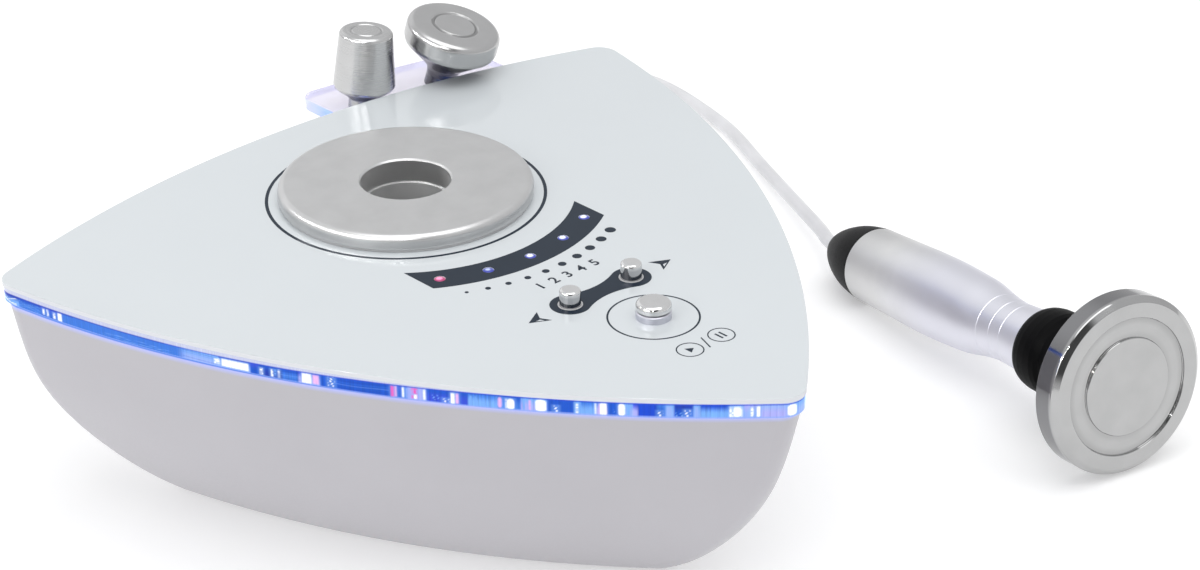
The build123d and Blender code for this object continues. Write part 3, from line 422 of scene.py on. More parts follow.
def rounded(profile, closed):
    """Corner points (r, z, radius) become a polyline with arcs; returns r, z and the outward normal of each point."""
    n = len(profile)
    pts = []
    for i, c in enumerate(profile):
        r, z, f = c if len(c) == 3 else (c[0], c[1], 0.0)
        here = Vector((r, z))
        if not closed and i in (0, n - 1):
            pts.append((here, None))
            continue
        a, b = profile[i - 1], profile[(i + 1) % n]
        d0, d1 = here - Vector(a[:2]), Vector(b[:2]) - here
        l0, l1 = d0.length, d1.length
        d0.normalize()
        d1.normalize()
        turn = math.atan2(d0.x * d1.y - d0.y * d1.x, d0.dot(d1))
        if abs(turn) < 0.02:
            pts.append((here, None))
            continue
        k = math.tan(abs(turn) / 2)
        f = min(max(f, 0.03), 0.46 * min(l0, l1) / k)
        t = f * k
        steps = max(2, int(abs(turn) / 0.22) + 1)
        side = 1.0 if turn > 0 else -1.0
        start = here - d0 * t
        centre = start + Vector((-d0.y, d0.x)) * f * side
        v0 = start - centre
        for j in range(steps + 1):
            an = turn * j / steps
            ca, sa = math.cos(an), math.sin(an)
            v = Vector((v0.x * ca - v0.y * sa, v0.x * sa + v0.y * ca))
            pts.append((centre + v, v.normalized() * side))
    out = []
    m = len(pts)
    for i, (q, nrm) in enumerate(pts):
        if nrm is None:
            a = pts[i - 1][0] if (i > 0 or closed) else q
            b = pts[(i + 1) % m][0] if (i < m - 1 or closed) else q
            d = (b - a).normalized()
            nrm = Vector((d.y, -d.x))
        out.append((q.x, q.y, nrm))
    return out


def smooth_line(points, step=1.0):
    """A smooth line through points (r, z), as a list of (r, z)."""
    out = []
    n = len(points)
    for i in range(n - 1):
        p0, p1, p2, p3 = (Vector(points[max(0, min(n - 1, i + k))]) for k in (-1, 0, 1, 2))
        m = max(1, int((p2 - p1).length / step))
        for j in range(m):
            t = j / m
            q = 0.5 * ((2 * p1) + (p2 - p0) * t + (2 * p0 - 5 * p1 + 4 * p2 - p3) * t * t + (3 * p1 - p0 - 3 * p2 + p3) * t ** 3)
            out.append((q.x, q.y))
    out.append(tuple(points[-1]))
    return out


def lathe_into(verts, normals, faces, prof, origin, axis, seg, closed, flip):
    axis = Vector(axis).normalized()
    e1 = axis.orthogonal().normalized()
    e2 = axis.cross(e1)
    rows = []
    for r, z, nrm in rounded(prof, closed):
        if flip:
            nrm = -nrm
        if r < 1e-6:
            rows.append([len(verts)])
            verts.append((Vector(origin) + axis * z) * MM)
            normals.append((axis * (1 if nrm.y > 0 else -1)))
            continue
        row = []
        for k in range(seg):
            a = 2 * math.pi * k / seg
            d = e1 * math.cos(a) + e2 * math.sin(a)
            row.append(len(verts))
            verts.append((Vector(origin) + axis * z + d * r) * MM)
            normals.append((d * nrm.x + axis * nrm.y).normalized())
        rows.append(row)
    pairs = list(zip(rows, rows[1:])) + ([(rows[-1], rows[0])] if closed else [])
    for a, b in pairs:
        for k in range(seg):
            k2 = (k + 1) % seg
            if len(a) == 1 and len(b) == 1:
                continue
            if len(a) == 1:
                f = (a[0], b[k2], b[k])
            elif len(b) == 1:
                f = (a[k], a[k2], b[0])
            else:
                f = (a[k], a[k2], b[k2], b[k])
            faces.append(f[::-1] if flip else f)


def finish_mesh(name, verts, faces, normals=None):
    me = bpy.data.meshes.new(name)
    me.from_pydata([tuple(v) for v in verts], [], faces)
    me.polygons.foreach_set("use_smooth", [True] * len(me.polygons))
    if normals is not None:
        me.normals_split_custom_set_from_vertices([tuple(n) for n in normals])
    me.update()
    return me


def lathe(name, parts, mats, body, replaces=(), seg=144):
    """Turned piece; each part is (profile, origin, axis, closed, flip)."""
    verts, normals, faces = [], [], []
    for prof, origin, axis, closed, flip in parts:
        lathe_into(verts, normals, faces, prof, origin, axis, seg, closed, flip)
    o = add_object(name, finish_mesh(name, verts, faces, normals), mats, body)
    if replaces:
        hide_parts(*replaces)
    return o


# ---- plan outline: three bulging sides and three rounded corners ----
def side_arc(p, q, sag):
    """Centre and radius of the arc that bulges to the right of the way from p to q."""
    p, q = Vector(p), Vector(q)
    d = q - p
    r = (d.length_squared / 4 + sag * sag) / (2 * sag)
    return (p + q) / 2 + Vector((-d.y, d.x)).normalized() * (r - sag), r


CL, RL = side_arc((-CORNER_X, CORNER_Y), (TIP_X, TIP_Y), LEFT_SAG)
CR, RS = side_arc((TIP_X, TIP_Y), (CORNER_X, CORNER_Y), SIDE_SAG)
CB, RB = side_arc((CORNER_X, CORNER_Y), (-CORNER_X, CORNER_Y), REAR_SAG)


def two_circles(c1, r1, c2, r2, near):
    d = (c2 - c1).length
    a = (r1 * r1 - r2 * r2 + d * d) / (2 * d)
    h = math.sqrt(r1 * r1 - a * a)
    u = (c2 - c1) / d
    m = c1 + u * a
    v = Vector((-u.y, u.x)) * h
    return min((m + v, m - v), key=lambda q: (q - Vector(near)).length)


F_TIP = two_circles(CL, RL - CORNER_R, CR, RS - CORNER_R, (TIP_X, -160))
F_LEFT = two_circles(CL, RL - CORNER_R, CB, RB - CORNER_R, (-112, 36))
F_RIGHT = two_circles(CR, RS - CORNER_R, CB, RB - CORNER_R, (112, 36))


def plan_samples(step):
    """(centre, radius, angle, way along the rim) all round, anticlockwise, from the rear left corner's end."""
    def ang(v):
        return math.atan2(v.y, v.x)
    runs = [
        (CL, RL, ang(F_LEFT - CL), ang(F_TIP - CL)), (F_TIP, CORNER_R, ang(F_TIP - CL), ang(F_TIP - CR)),
        (CR, RS, ang(F_TIP - CR), ang(F_RIGHT - CR)), (F_RIGHT, CORNER_R, ang(F_RIGHT - CR), ang(F_RIGHT - CB)),
        (CB, RB, ang(F_RIGHT - CB), ang(F_LEFT - CB)), (F_LEFT, CORNER_R, ang(F_LEFT - CB), ang(F_LEFT - CL)),
    ]
    a_corner = math.atan2(CORNER_Y - CL.y, -CORNER_X - CL.x)
    out = []
    s = None
    for c, r, a, b in runs:
        while b < a:
            b += 2 * math.pi
        if s is None:
            s = (a - a_corner) % (2 * math.pi) * RL
        n = max(8, int((b - a) * r / step))
        for i in range(n):
            t = a + (b - a) * i / n
            out.append((c, r, t, s + (t - a) * r))
        s += (b - a) * r
    return out, s


def rim_sweep(name, section, step, mats, colour=None, replaces=()):
    """A closed section of (inset, z) swept round the plan; colour(way, row) gives a point colour."""
    smp, total = plan_samples(step)
    verts, cols = [], []
    k = len(section)
    for c, r, t, s in smp:
        for j, (d, z) in enumerate(section):
            verts.append(((c.x + (r - d) * math.cos(t)) * MM, (c.y + (r - d) * math.sin(t)) * MM, z * MM))
            if colour:
                cols.append(colour(s, j))
    n = len(smp)
    faces = []
    for i in range(n):
        i2 = (i + 1) % n
        for j in range(k):
            j2 = (j + 1) % k
            faces.append((i * k + j, i2 * k + j, i2 * k + j2, i * k + j2))
    me = finish_mesh(name, verts, faces)
    me.set_sharp_from_angle(angle=math.radians(35))
    if colour:
        at = me.color_attributes.new("glow", "FLOAT_COLOR", "POINT")
        at.data.foreach_set("color", [x for c in cols for x in c])
    o = add_object(name, me, mats)
    if replaces:
        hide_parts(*replaces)
    return o


def circle_pts(cx, cy, r, n=64, a0=0.0, a1=2 * math.pi, end=False):
    m = n + 1 if end else n
    return [(cx + r * math.cos(a0 + (a1 - a0) * i / n), cy + r * math.sin(a0 + (a1 - a0) * i / n)) for i in range(m)]


def flat_solid(name, loops, z0, z1, mats, bevel=0.0, body="console", replaces=()):
    """Closed loops, the inner ones as holes, extruded from z0 to z1 with a rounded edge."""
    c = bpy.data.curves.new(name, "CURVE")
    c.dimensions = "2D"
    c.fill_mode = "BOTH"
    for lp in loops:
        s = c.splines.new("POLY")
        s.points.add(len(lp) - 1)
        for q, (x, y) in zip(s.points, lp):
            q.co = (x * MM, y * MM, 0.0, 1.0)
        s.use_cyclic_u = True
        s.use_smooth = True
    c.extrude = ((z1 - z0) / 2 - bevel) * MM
    if bevel:
        c.bevel_depth = bevel * MM
        c.bevel_resolution = 2
        c.offset = -bevel * MM
    t = bpy.data.objects.new(name + "_tmp", c)
    scene.collection.objects.link(t)
    dg = bpy.context.evaluated_depsgraph_get()
    me = bpy.data.meshes.new_from_object(t.evaluated_get(dg))
    bpy.data.objects.remove(t)
    bpy.data.curves.remove(c)
    me.transform(Matrix.Translation((0, 0, (z0 + z1) / 2 * MM)))
    me.name = name
    bm = bmesh.new()
    bm.from_mesh(me)
    bmesh.ops.remove_doubles(bm, verts=bm.verts, dist=1e-7)
    bm.to_mesh(me)
    bm.free()
    me.materials.clear()
    me.set_sharp_from_angle(angle=math.radians(32))
    for poly in me.polygons:
        if abs(poly.normal.z) > 0.999:
            poly.use_smooth = False
    o = add_object(name, me, mats, body)
    if replaces:
        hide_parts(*replaces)
    return o


# ---------------------------------------------------------------------------
# lid, lit edge, shelf
# ---------------------------------------------------------------------------
LED_ANG = [math.radians(a) for a in (-30, -15, 0, 15, 30)]
LED_XY = [(LED_R * math.sin(a), -LED_R * math.cos(a)) for a in LED_ANG]
smp, _ = plan_samples(1.2)
lid_loop = [(c.x + r * math.cos(t), c.y + r * math.sin(t)) for c, r, t, s in smp]
lid_holes = [circle_pts(0, 0, 18.1, 96), circle_pts(PIN_X, PIN_Y, 3.5, 48), circle_pts(-PIN_X, PIN_Y, 3.5, 48), circle_pts(0, PLAY_Y, 4.6, 48)]
lid_holes += [circle_pts(x, y, 1.62, 32) for x, y in LED_XY]
lid = flat_solid("lid_panel", [lid_loop] + lid_holes, PLATE_TOP - PANEL_T, PLATE_TOP, [M["plate"], M["lidedge"]], bevel=0.22, replaces=("top_panel",))
# The lid's outer side faces take the painted-glow edge material.
for poly in lid.data.polygons:
    c = poly.center / MM
    if abs(poly.normal.z) < 0.85 and math.hypot(c.x, c.y) > 62 and math.hypot(abs(c.x) - PIN_X, c.y - PIN_Y) > 5 and math.hypot(c.x, c.y - PLAY_Y) > 7:
        if c.z < PLATE_TOP - 0.12:
            poly.material_index = 1


def lin(r, g, b, k=1.0):
    c = srgb(r, g, b)
    return Vector((c[0] * k, c[1] * k, c[2] * k))


rng = random.Random(11)
INK = {
    "navy": lin(26, 54, 168), "deep": lin(20, 84, 198), "royal": lin(14, 68, 200), "violet": lin(54, 78, 212), "azure": lin(60, 122, 220),
    "sky": lin(122, 176, 246), "pale": lin(156, 184, 250), "lav": lin(176, 178, 246), "white": lin(252, 254, 255, 1.2),
    "pink": lin(246, 190, 240), "magenta": lin(248, 92, 186),
}
# stretches of the rim: where each starts, colour of its upper and of its lower part
RUNS = [(0.0, "navy", "sky"), (9.0, "deep", "azure"), (17.6, "violet", "deep"), (26.0, "azure", "azure"), (68.0, "sky", "pale"), (79.8, "deep", "pale"),
        (89.6, "violet", "deep"), (92.4, "deep", "navy"), (99.5, "deep", "azure"), (104.4, "violet", "lav"), (110.8, "deep", "deep"), (131.2, "violet", "deep"),
        (136.2, "lav", "lav"), (141.5, "deep", "violet"), (153.2, "azure", "sky"), (161.4, "deep", "azure"), (167.8, "sky", "lav"), (174.8, "deep", "deep"),
        (182.2, "sky", "sky"), (184.0, "azure", "sky"), (188.2, "violet", "pink"), (191.1, "deep", "deep"), (195.6, "sky", "pale"), (198.0, "violet", "lav"),
        (199.4, "royal", "royal"), (204.4, "azure", "deep"), (206.8, "sky", "pale"), (209.0, "navy", "deep"), (214.2, "sky", "pale"), (216.0, "royal", "sky"),
        (223.8, "sky", "pale"), (227.4, "lav", "pale"), (232.0, "pale", "lav"), (240.0, "sky", "pale")]
# lamps and their images in the acrylic: way, half width, lower and upper end as parts of the height, colour, shape
MARKS = [(18.7, 0.35, 0.2, 0.8, "white", "c"), (20.3, 0.3, 0.15, 0.85, "white", "c"), (22.8, 0.4, 0.15, 0.75, "white", "c"), (24.9, 0.7, 0.1, 0.85, "white", "b"),
         (79.2, 0.9, 0.2, 0.75, "white", "c"), (84.9, 4.2, 0.14, 0.82, "white", "b"), (93.1, 0.45, 0.1, 0.7, "white", "c"), (96.4, 0.3, 0.1, 0.75, "white", "c"),
         (97.4, 0.3, 0.2, 0.8, "sky", "c"), (98.5, 0.28, 0.1, 0.8, "white", "c"), (106.9, 1.4, 0.08, 0.92, "white", "b"), (109.6, 0.9, 0.12, 0.88, "pink", "b"),
         (114.2, 1.0, 0.15, 0.9, "white", "d"), (132.0, 0.5, 0.05, 0.9, "magenta", "b"), (132.9, 0.22, 0.1, 0.95, "pink", "b"), (135.0, 0.25, 0.12, 0.9, "white", "b"),
         (136.0, 0.15, 0.12, 0.85, "pale", "b"), (138.2, 0.9, 0.1, 0.92, "magenta", "c"), (138.5, 0.4, 0.1, 0.45, "white", "b"), (141.0, 0.28, 0.12, 0.9, "white", "b"),
         (144.2, 1.0, 0.2, 0.6, "sky", "d"), (147.2, 1.0, 0.1, 0.4, "white", "d"), (149.0, 0.55, 0.06, 0.86, "white", "b"), (150.2, 0.4, 0.1, 0.85, "pink", "b"),
         (154.0, 0.3, 0.1, 0.8, "sky", "b"), (155.3, 0.2, 0.1, 0.8, "sky", "b"), (162.0, 0.5, 0.12, 0.85, "pink", "o"), (163.8, 0.25, 0.1, 0.8, "white", "c"),
         (165.0, 0.95, 0.05, 0.8, "white", "o"), (168.6, 0.3, 0.1, 0.85, "sky", "b"), (170.2, 0.25, 0.1, 0.85, "pink", "b"), (173.2, 1.45, 0.06, 0.92, "white", "o"),
         (177.3, 0.7, 0.1, 0.55, "white", "d"), (183.0, 0.3, 0.1, 0.8, "white", "c"), (188.0, 0.16, 0.1, 0.9, "white", "b"), (189.2, 0.35, 0.1, 0.9, "pink", "b"),
         (190.1, 0.85, 0.08, 0.94, "white", "b"), (192.8, 0.3, 0.1, 0.5, "sky", "d"), (195.0, 0.85, 0.06, 0.94, "white", "o"), (196.8, 0.4, 0.1, 0.85, "sky", "b"),
         (205.3, 0.7, 0.05, 0.5, "white", "d"), (207.7, 0.7, 0.15, 0.85, "pale", "b"), (210.6, 1.2, 0.1, 0.45, "sky", "d"), (212.6, 0.8, 0.05, 0.6, "white", "d"),
         (215.0, 0.35, 0.1, 0.85, "pale", "b"), (225.5, 1.75, 0.1, 0.88, "white", "c"), (225.9, 1.0, 0.14, 0.8, "white", "o"), (229.8, 0.35, 0.15, 0.8, "white", "c"),
         (231.5, 0.4, 0.12, 0.88, "white", "b"), (240.8, 1.4, 0.1, 0.9, "white", "o")]
w = 247.0
while w < 748.0:
    n_run = rng.uniform(4.0, 14.0)
    RUNS.append((w, rng.choice(("deep", "deep", "azure", "royal", "violet", "sky")), rng.choice(("deep", "azure", "azure", "sky", "pale"))))
    for _ in range(rng.choice((1, 2, 2, 3))):
        hw = rng.choice((0.2, 0.3, 0.35, 0.5, 0.9, 1.4))
        MARKS.append((w + rng.uniform(0.5, n_run - 0.5), hw, rng.uniform(0.06, 0.2), rng.uniform(0.7, 0.92), rng.choice(("white", "white", "sky", "pink", "pale")), rng.choice("bocd") if hw > 0.3 else "b"))
    w += n_run
GRAIN = [rng.uniform(0.0, 1.0) for _ in range(4096)]
GLOW_Z = [71.82, 71.98] + [round(72.15 + 0.205 * i, 3) for i in range(20)] + [76.12, 76.28]


def soft(x, a, b):
    t = max(0.0, min(1.0, (x - a) / (b - a)))
    return t * t * (3 - 2 * t)


def line_at(v, c, h):
    return max(0.0, 1.0 - abs(v - c) / h)


glow_memo = {}
_smp, _end = plan_samples(1.0)
PERIM = _end - _smp[0][3]


def near(s):
    k = int(s / 2.0)
    if k not in glow_memo:
        lo_s, hi_s = 2.0 * k - 1.0, 2.0 * k + 3.0
        marks = [q for q in MARKS if q[0] + q[1] + 1.2 > lo_s and q[0] - q[1] - 1.2 < hi_s]
        i = max(j for j, q in enumerate(RUNS) if q[0] <= max(0.0, lo_s))
        glow_memo[k] = (marks, RUNS[i:i + 5])
    return glow_memo[k]


def glow(s, j):
    if j >= len(GLOW_Z):
        return (0.01, 0.03, 0.25, 1)
    if s > PERIM - 24.0:
        s -= PERIM
    v = (GLOW_Z[j] - GLOW_Z[0]) / (GLOW_Z[-1] - GLOW_Z[0])
    white = 0.24 * (1 - soft(s, 60, 170))
    wall = soft(v, 1.0 - white - 0.05, 1.0 - white + 0.03) if white > 0.01 else 0.0
    v = min(1.0, v / (1.0 - white))
    marks, runs = near(s)
    g1, g2 = GRAIN[int(s / 0.42) % 4096], GRAIN[(int(s / 0.63) * 5 + int(v * 9) * 131) % 4096]
    up = soft(v, 0.30 + 0.06 * g1, 0.92)
    col = INK[runs[0][2]].lerp(INK[runs[0][1]], up)
    for a, hi_c, lo_c in runs[1:]:
        w = 2.2 if a == 68.0 else 0.9 if a == 26.0 else 0.35
        k = soft(s, a - w, a + w)
        if k > 0:
            col = col.lerp(INK[lo_c].lerp(INK[hi_c], up), k)
    amp = 0.03 if s < 92 else 0.11
    col = col * (1.0 - amp + 2 * amp * g1)
    # flowing light lines in the long even stretches
    if s < 17.6:
        for c, am, fr, ph, hh in ((0.22, 0.12, 0.62, 0.0, 0.05), (0.38, 0.17, 0.48, 1.4, 0.045), (0.54, 0.15, 0.71, 2.2, 0.04), (0.64, 0.1, 0.9, 0.3, 0.03)):
            b = line_at(v, c + am * math.sin(s * fr + ph), hh) * (0.95 if s < 8 else 0.55) * (0.5 + 0.5 * g1)
            col = col.lerp(INK["white"] if s < 8 else INK["sky"], b)
    elif 38.0 < s < 66.0:
        k = soft(s, 38, 46) * (1 - soft(s, 60, 66))
        for c, am, fr, ph, hh in ((0.3, 0.09, 0.3, 0.4, 0.035), (0.42, 0.07, 0.24, 2.0, 0.03), (0.2, 0.05, 0.45, 1.0, 0.04)):
            col = col.lerp(INK["sky"], line_at(v, c + am * math.sin(s * fr + ph), hh) * 0.75 * k)
        col = col.lerp(INK["deep"], line_at(v, 0.24 + 0.06 * math.sin(s * 0.45 + 2.5), 0.04) * 0.6 * k)
    elif 68.0 < s < 79.0 or 99.0 < s < 105.0 or 115.0 < s < 131.0:
        for c, inkn in ((0.22, "navy"), (0.46, "sky"), (0.62, "azure"), (0.78, "navy")):
            col = col.lerp(INK[inkn], line_at(v, c + 0.04 * math.sin(s * 0.3), 0.06) * 0.4)
    for c, h, v0, v1, inkn, shape in marks:
        d = abs(s - c)
        if d > h + 1.1:
            continue
        if inkn != "sky":
            col = col.lerp(INK["sky"], 0.4 * (1.0 - soft(d, h, h + 1.1)) * (1 - soft(abs(v - (v0 + v1) / 2), (v1 - v0) / 2, (v1 - v0) / 2 + 0.15)))
        if d > h + 0.35:
            continue
        b = 1.0 - soft(d, h - 0.26 - 0.12 * g2, h + 0.32)
        if shape == "o":
            q = min(1.0, d / (h + 0.1))
            sq = 0.16 * q * q * (v1 - v0)
            b *= soft(v, v0 + sq - 0.08, v0 + sq + 0.1) * (1 - soft(v, v1 - sq - 0.12, v1 - sq + 0.08))
        else:
            b *= soft(v, v0 - 0.06, v0 + 0.08) * (1 - soft(v, v1 - 0.14, v1 + 0.06))
        if shape == "c":
            b *= 0.35 + 0.65 * soft(g2, 0.25, 0.5)
        elif shape == "d":
            b *= 0.8 * soft(0.5 + 0.5 * math.sin(s * 4.3 + 1.7 * math.sin(v * 9.0)) * math.cos(v * 17.0), 0.45, 0.95)
        elif shape == "b" and h > 1.0:
            b *= 0.8 + 0.2 * g1
        col = col.lerp(INK[inkn], b)
    far = soft(s, 110, 190)
    col = col.lerp(lin(150, 176, 248), 0.8 * (1 - soft(v, 0.02 + 0.06 * far, 0.1 + 0.08 * far)))
    edge = lin(34, 56, 180) if s < 62 else lin(44, 78, 206)
    col = col.lerp(edge, 0.75 * soft(v, 0.84 if s > 30 else 0.74, 0.93))
    col = col.lerp(lin(150, 162, 236), 0.7 * soft(v, 0.95, 1.0) * (1 - wall))
    col = col.lerp(lin(208, 211, 230), wall)
    return (col.x, col.y, col.z, 1.0)


section = [(0.45 if z in (71.82, 76.28) else 0.32 if z in (71.98, 76.12) else 0.3, z) for z in GLOW_Z] + [(5.9, 76.28), (5.9, 71.82)]
rim_sweep("lit_edge", section, 0.21, [M["glow"]], colour=glow, replaces=("light_guide",))

# rear shelf, clear, with painted glow on its cut edges
mid = CB
sx0, sx1 = 30.7, 95.3
def rear_y(x, r):
    return CB.y + math.sqrt(r * r - x * x)
SHELF_R = 361.0
sh = [(sx1, rear_y(sx1, 300.5)), (sx0, rear_y(sx0, 300.5))]
sh = []
n = 24
inner = [(sx0 + (sx1 - sx0) * i / n, 35.5) for i in range(n + 1)]
a_l, a_r = math.atan2(rear_y(sx0, SHELF_R) - CB.y, sx0), math.atan2(rear_y(sx1, SHELF_R) - CB.y, sx1)


def corner(cx_side, flip):
    """Rounded rear corner between the straight side x = cx_side and the rear arc."""
    f = 5.5
    x = cx_side + (f if flip else -f)
    y = CB.y + math.sqrt((SHELF_R - f) ** 2 - x * x)
    a_arc = math.atan2(y - CB.y, x)
    a_side = math.pi if flip else 0.0
    return x, y, f, a_arc, a_side


x_r, y_r, f_r, aa_r, as_r = corner(sx1, False)
x_l, y_l, f_l, aa_l, as_l = corner(sx0, True)
sh = inner[:]
sh += circle_pts(x_r, y_r, f_r, 10, 0.0, aa_r, end=True)
sh += circle_pts(CB.x, CB.y, SHELF_R, 40, aa_r, aa_l, end=True)[1:-1]
sh += circle_pts(x_l, y_l, f_l, 10, aa_l, math.pi, end=True)
eye_hole, face_hole = (39.904, 70.223), (66.786, 65.159)
flat_solid("clear_shelf", [sh, circle_pts(*eye_hole, 4.8, 48), circle_pts(*face_hole, 4.8, 48)], 66.8, 70.8, [M["shelf"]], bevel=0.35, replaces=("head_shelf",))

# ---------------------------------------------------------------------------
# print on the lid
# ---------------------------------------------------------------------------
PZ0, PZ1 = PLATE_TOP + 0.002, PLATE_TOP + 0.034


def ring(cx, cy, r0, r1, n=96):
    return [circle_pts(cx, cy, r1, n), circle_pts(cx, cy, r0, n)]


def decal(name, loops, mat="print"):
    return flat_solid(name, loops, PZ0, PZ1, [M[mat]])


decal("print_ring", ring(0, 0, 41.48, 42.5, 240))
XE = 33.2
ao, ai = math.asin(XE / 61.5), math.asin(XE / 51.0)
band = [(61.5 * math.sin(ao * (1 - 2 * i / 80)), -61.5 * math.cos(ao * (1 - 2 * i / 80))) for i in range(81)]
band += [(51.0 * math.sin(-ai + 2 * ai * i / 80), -51.0 * math.cos(-ai + 2 * ai * i / 80)) for i in range(81)]
decal("print_band", [band] + [circle_pts(x, y, 1.7, 32) for x, y in LED_XY])
dots = []
for i, r in enumerate((0.59, 0.84, 0.92, 1.0, 1.13, 1.26, 1.43, 1.5, 1.6, 1.68)):
    a = math.radians(-24.885 + 5.53 * i)
    dots.append(circle_pts(66.3 * math.sin(a), -66.3 * math.cos(a), r, 32))
decal("print_scale", dots)
rw, top = 20.364, 3.1
phi = math.atan2(top + rw, PIN_X)
bone = circle_pts(PIN_X, PIN_Y, 5.9, 40, -(math.pi - phi), math.pi - phi, end=True)
bone += circle_pts(0, PIN_Y + top + rw, rw, 30, -phi, -(math.pi - phi), end=True)[1:-1]
bone += circle_pts(-PIN_X, PIN_Y, 5.9, 40, phi, 2 * math.pi - phi, end=True)
bone += circle_pts(0, PIN_Y - top - rw, rw, 30, math.pi - phi, phi, end=True)[1:-1]
decal("print_patch", [bone, circle_pts(PIN_X, PIN_Y, 3.62, 48), circle_pts(-PIN_X, PIN_Y, 3.62, 48)])
arrows = []
for sgn in (1, -1):
    tip, up_c, lo_c, notch = (27.5 * sgn, PIN_Y), (21.6 * sgn, PIN_Y + 3.2), (21.6 * sgn, PIN_Y - 3.2), (23.3 * sgn, PIN_Y)
    arrows.append([tip, up_c, notch])
    g = tuple(sum(q[k] for q in (tip, lo_c, notch)) / 3 for k in (0, 1))
    arrows.append([tip, lo_c, notch])
    arrows.append([(g[0] + (q[0] - g[0]) * 0.42, g[1] + (q[1] - g[1]) * 0.42) for q in (tip, lo_c, notch)])
decal("print_arrows", [arrows[0]] + [arrows[3]])
decal("print_arrow_outline", arrows[1:3] + arrows[4:6])
decal("print_play_ring", ring(0, PLAY_Y, 12.64, 13.2, 160))
icons = ring(-5.9, -128.0, 3.58, 3.95, 64) + ring(6.2, -128.0, 3.58, 3.95, 64)
icons.append([(-6.7, -126.55), (-4.5, -128.0), (-6.7, -129.45)])
icons.append([(0.83, -125.2), (1.25, -125.2), (-0.73, -130.9), (-1.15, -130.9)])
for bx in (5.25, 6.75):
    icons.append([(bx - 0.3, -126.4), (bx + 0.3, -126.4), (bx + 0.3, -129.6), (bx - 0.3, -129.6)])
decal("print_icons", icons)

digits = []
for i, ch in enumerate("12345"):
    f = bpy.data.curves.new("digit", "FONT")
    f.body = ch
    f.size = 1.0
    f.extrude = 0.0
    f.offset = 0.018
    f.resolution_u = 6
    t = bpy.data.objects.new("digit", f)
    scene.collection.objects.link(t)
    me = bpy.data.meshes.new_from_object(t.evaluated_get(bpy.context.evaluated_depsgraph_get()))
    bpy.data.objects.remove(t)
    bpy.data.curves.remove(f)
    xs, ys = [v.co.x for v in me.vertices], [v.co.y for v in me.vertices]
    k = 3.7 / (max(ys) - min(ys)) * MM
    cx, cy = (min(xs) + max(xs)) / 2, (min(ys) + max(ys)) / 2
    me.transform(Matrix.Translation(((-10.4 + 5.2 * i) * MM, -71.9 * MM, PZ1 * MM)) @ Matrix.Diagonal((k, k, 1, 1)) @ Matrix.Translation((-cx, -cy, 0)))
    digits.append(me)
bm = bmesh.new()
for me in digits:
    bm.from_mesh(me)
bmesh.ops.remove_doubles(bm, verts=bm.verts, dist=1e-7)
ext = bmesh.ops.extrude_face_region(bm, geom=bm.faces[:])
bmesh.ops.translate(bm, vec=(0, 0, (PZ0 - PZ1) * MM), verts=[g for g in ext["geom"] if isinstance(g, bmesh.types.BMVert)])
bmesh.ops.recalc_face_normals(bm, faces=bm.faces)
me = bpy.data.meshes.new("print_digits")
bm.to_mesh(me)
bm.free()
add_object("print_digits", me, [M["print"]])

# level lamp windows: domed lenses on light pipes, brighter in the middle
verts, normals, faces, cols = [], [], [], []
for k, (x, y) in enumerate(LED_XY):
    n0 = len(verts)
    lathe_into(verts, normals, faces, [(0, 78.24), (0.35, 78.23), (0.7, 78.2), (1.05, 78.14), (1.35, 78.04, 0.2), (1.54, 77.9, 0.1), (1.54, 61.0, 0.1), (0, 61.0)][::-1], (x, y, 0), (0, 0, 1), 32, False, False)
    rim_c = lin(64, 74, 190, 0.8)
    core = lin(255, 150, 190, 1.35) if k == 0 else lin(206, 220, 255, 1.0) if k == 1 else lin(240, 245, 255, 1.6)
    if k == 0:
        rim_c = lin(205, 60, 110, 0.85)
    for v in verts[n0:]:
        d = Vector((v.x / MM - x + 0.15, (v.y / MM - y) - 0.1)).length
        t = max(0.0, min(1.0, (d - (0.35 if k == 1 else 0.55)) / 0.65))
        c = core.lerp(rim_c, t * t * (3 - 2 * t))
        cols.append((c.x, c.y, c.z, 1.0))
me = finish_mesh("level_windows", verts, faces, normals)
at = me.color_attributes.new("glow", "FLOAT_COLOR", "POINT")
at.data.foreach_set("color", [x for c in cols for x in c])
o = add_object("level_windows", me, [M["lens"]])
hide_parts("led_lenses")

# ---------------------------------------------------------------------------
# turned pieces of the console
# ---------------------------------------------------------------------------
Z = (0, 0, 1)
STEP_Z = DISC_TOP - DOCK_LEN
lathe("docking_disc", [([
    (13.7, STEP_Z, 0.05), (18.0, STEP_Z, 0.05), (18.0, 58.0, 0.1), (15.1, 58.0, 0.1), (15.1, STEP_Z, 0.05)
], (0, 0, 0), Z, True, True), ([
    (34.0, 78.0, 0.05), (34.0, 78.7, 0.1), (38.5, 78.7, 0.5), (38.5, DISC_TOP, 3.9), (DOCK_R + 0.5, DISC_TOP, 0.2), (DOCK_R, DISC_TOP - 0.5, 0.2), (DOCK_R, STEP_Z, 0.1), (18.0, STEP_Z, 0.05), (18.0, 78.0, 0.05)
], (0, 0, 0), Z, True, False)], [M["disc"]], "console", ("dock_ring",), seg=192)
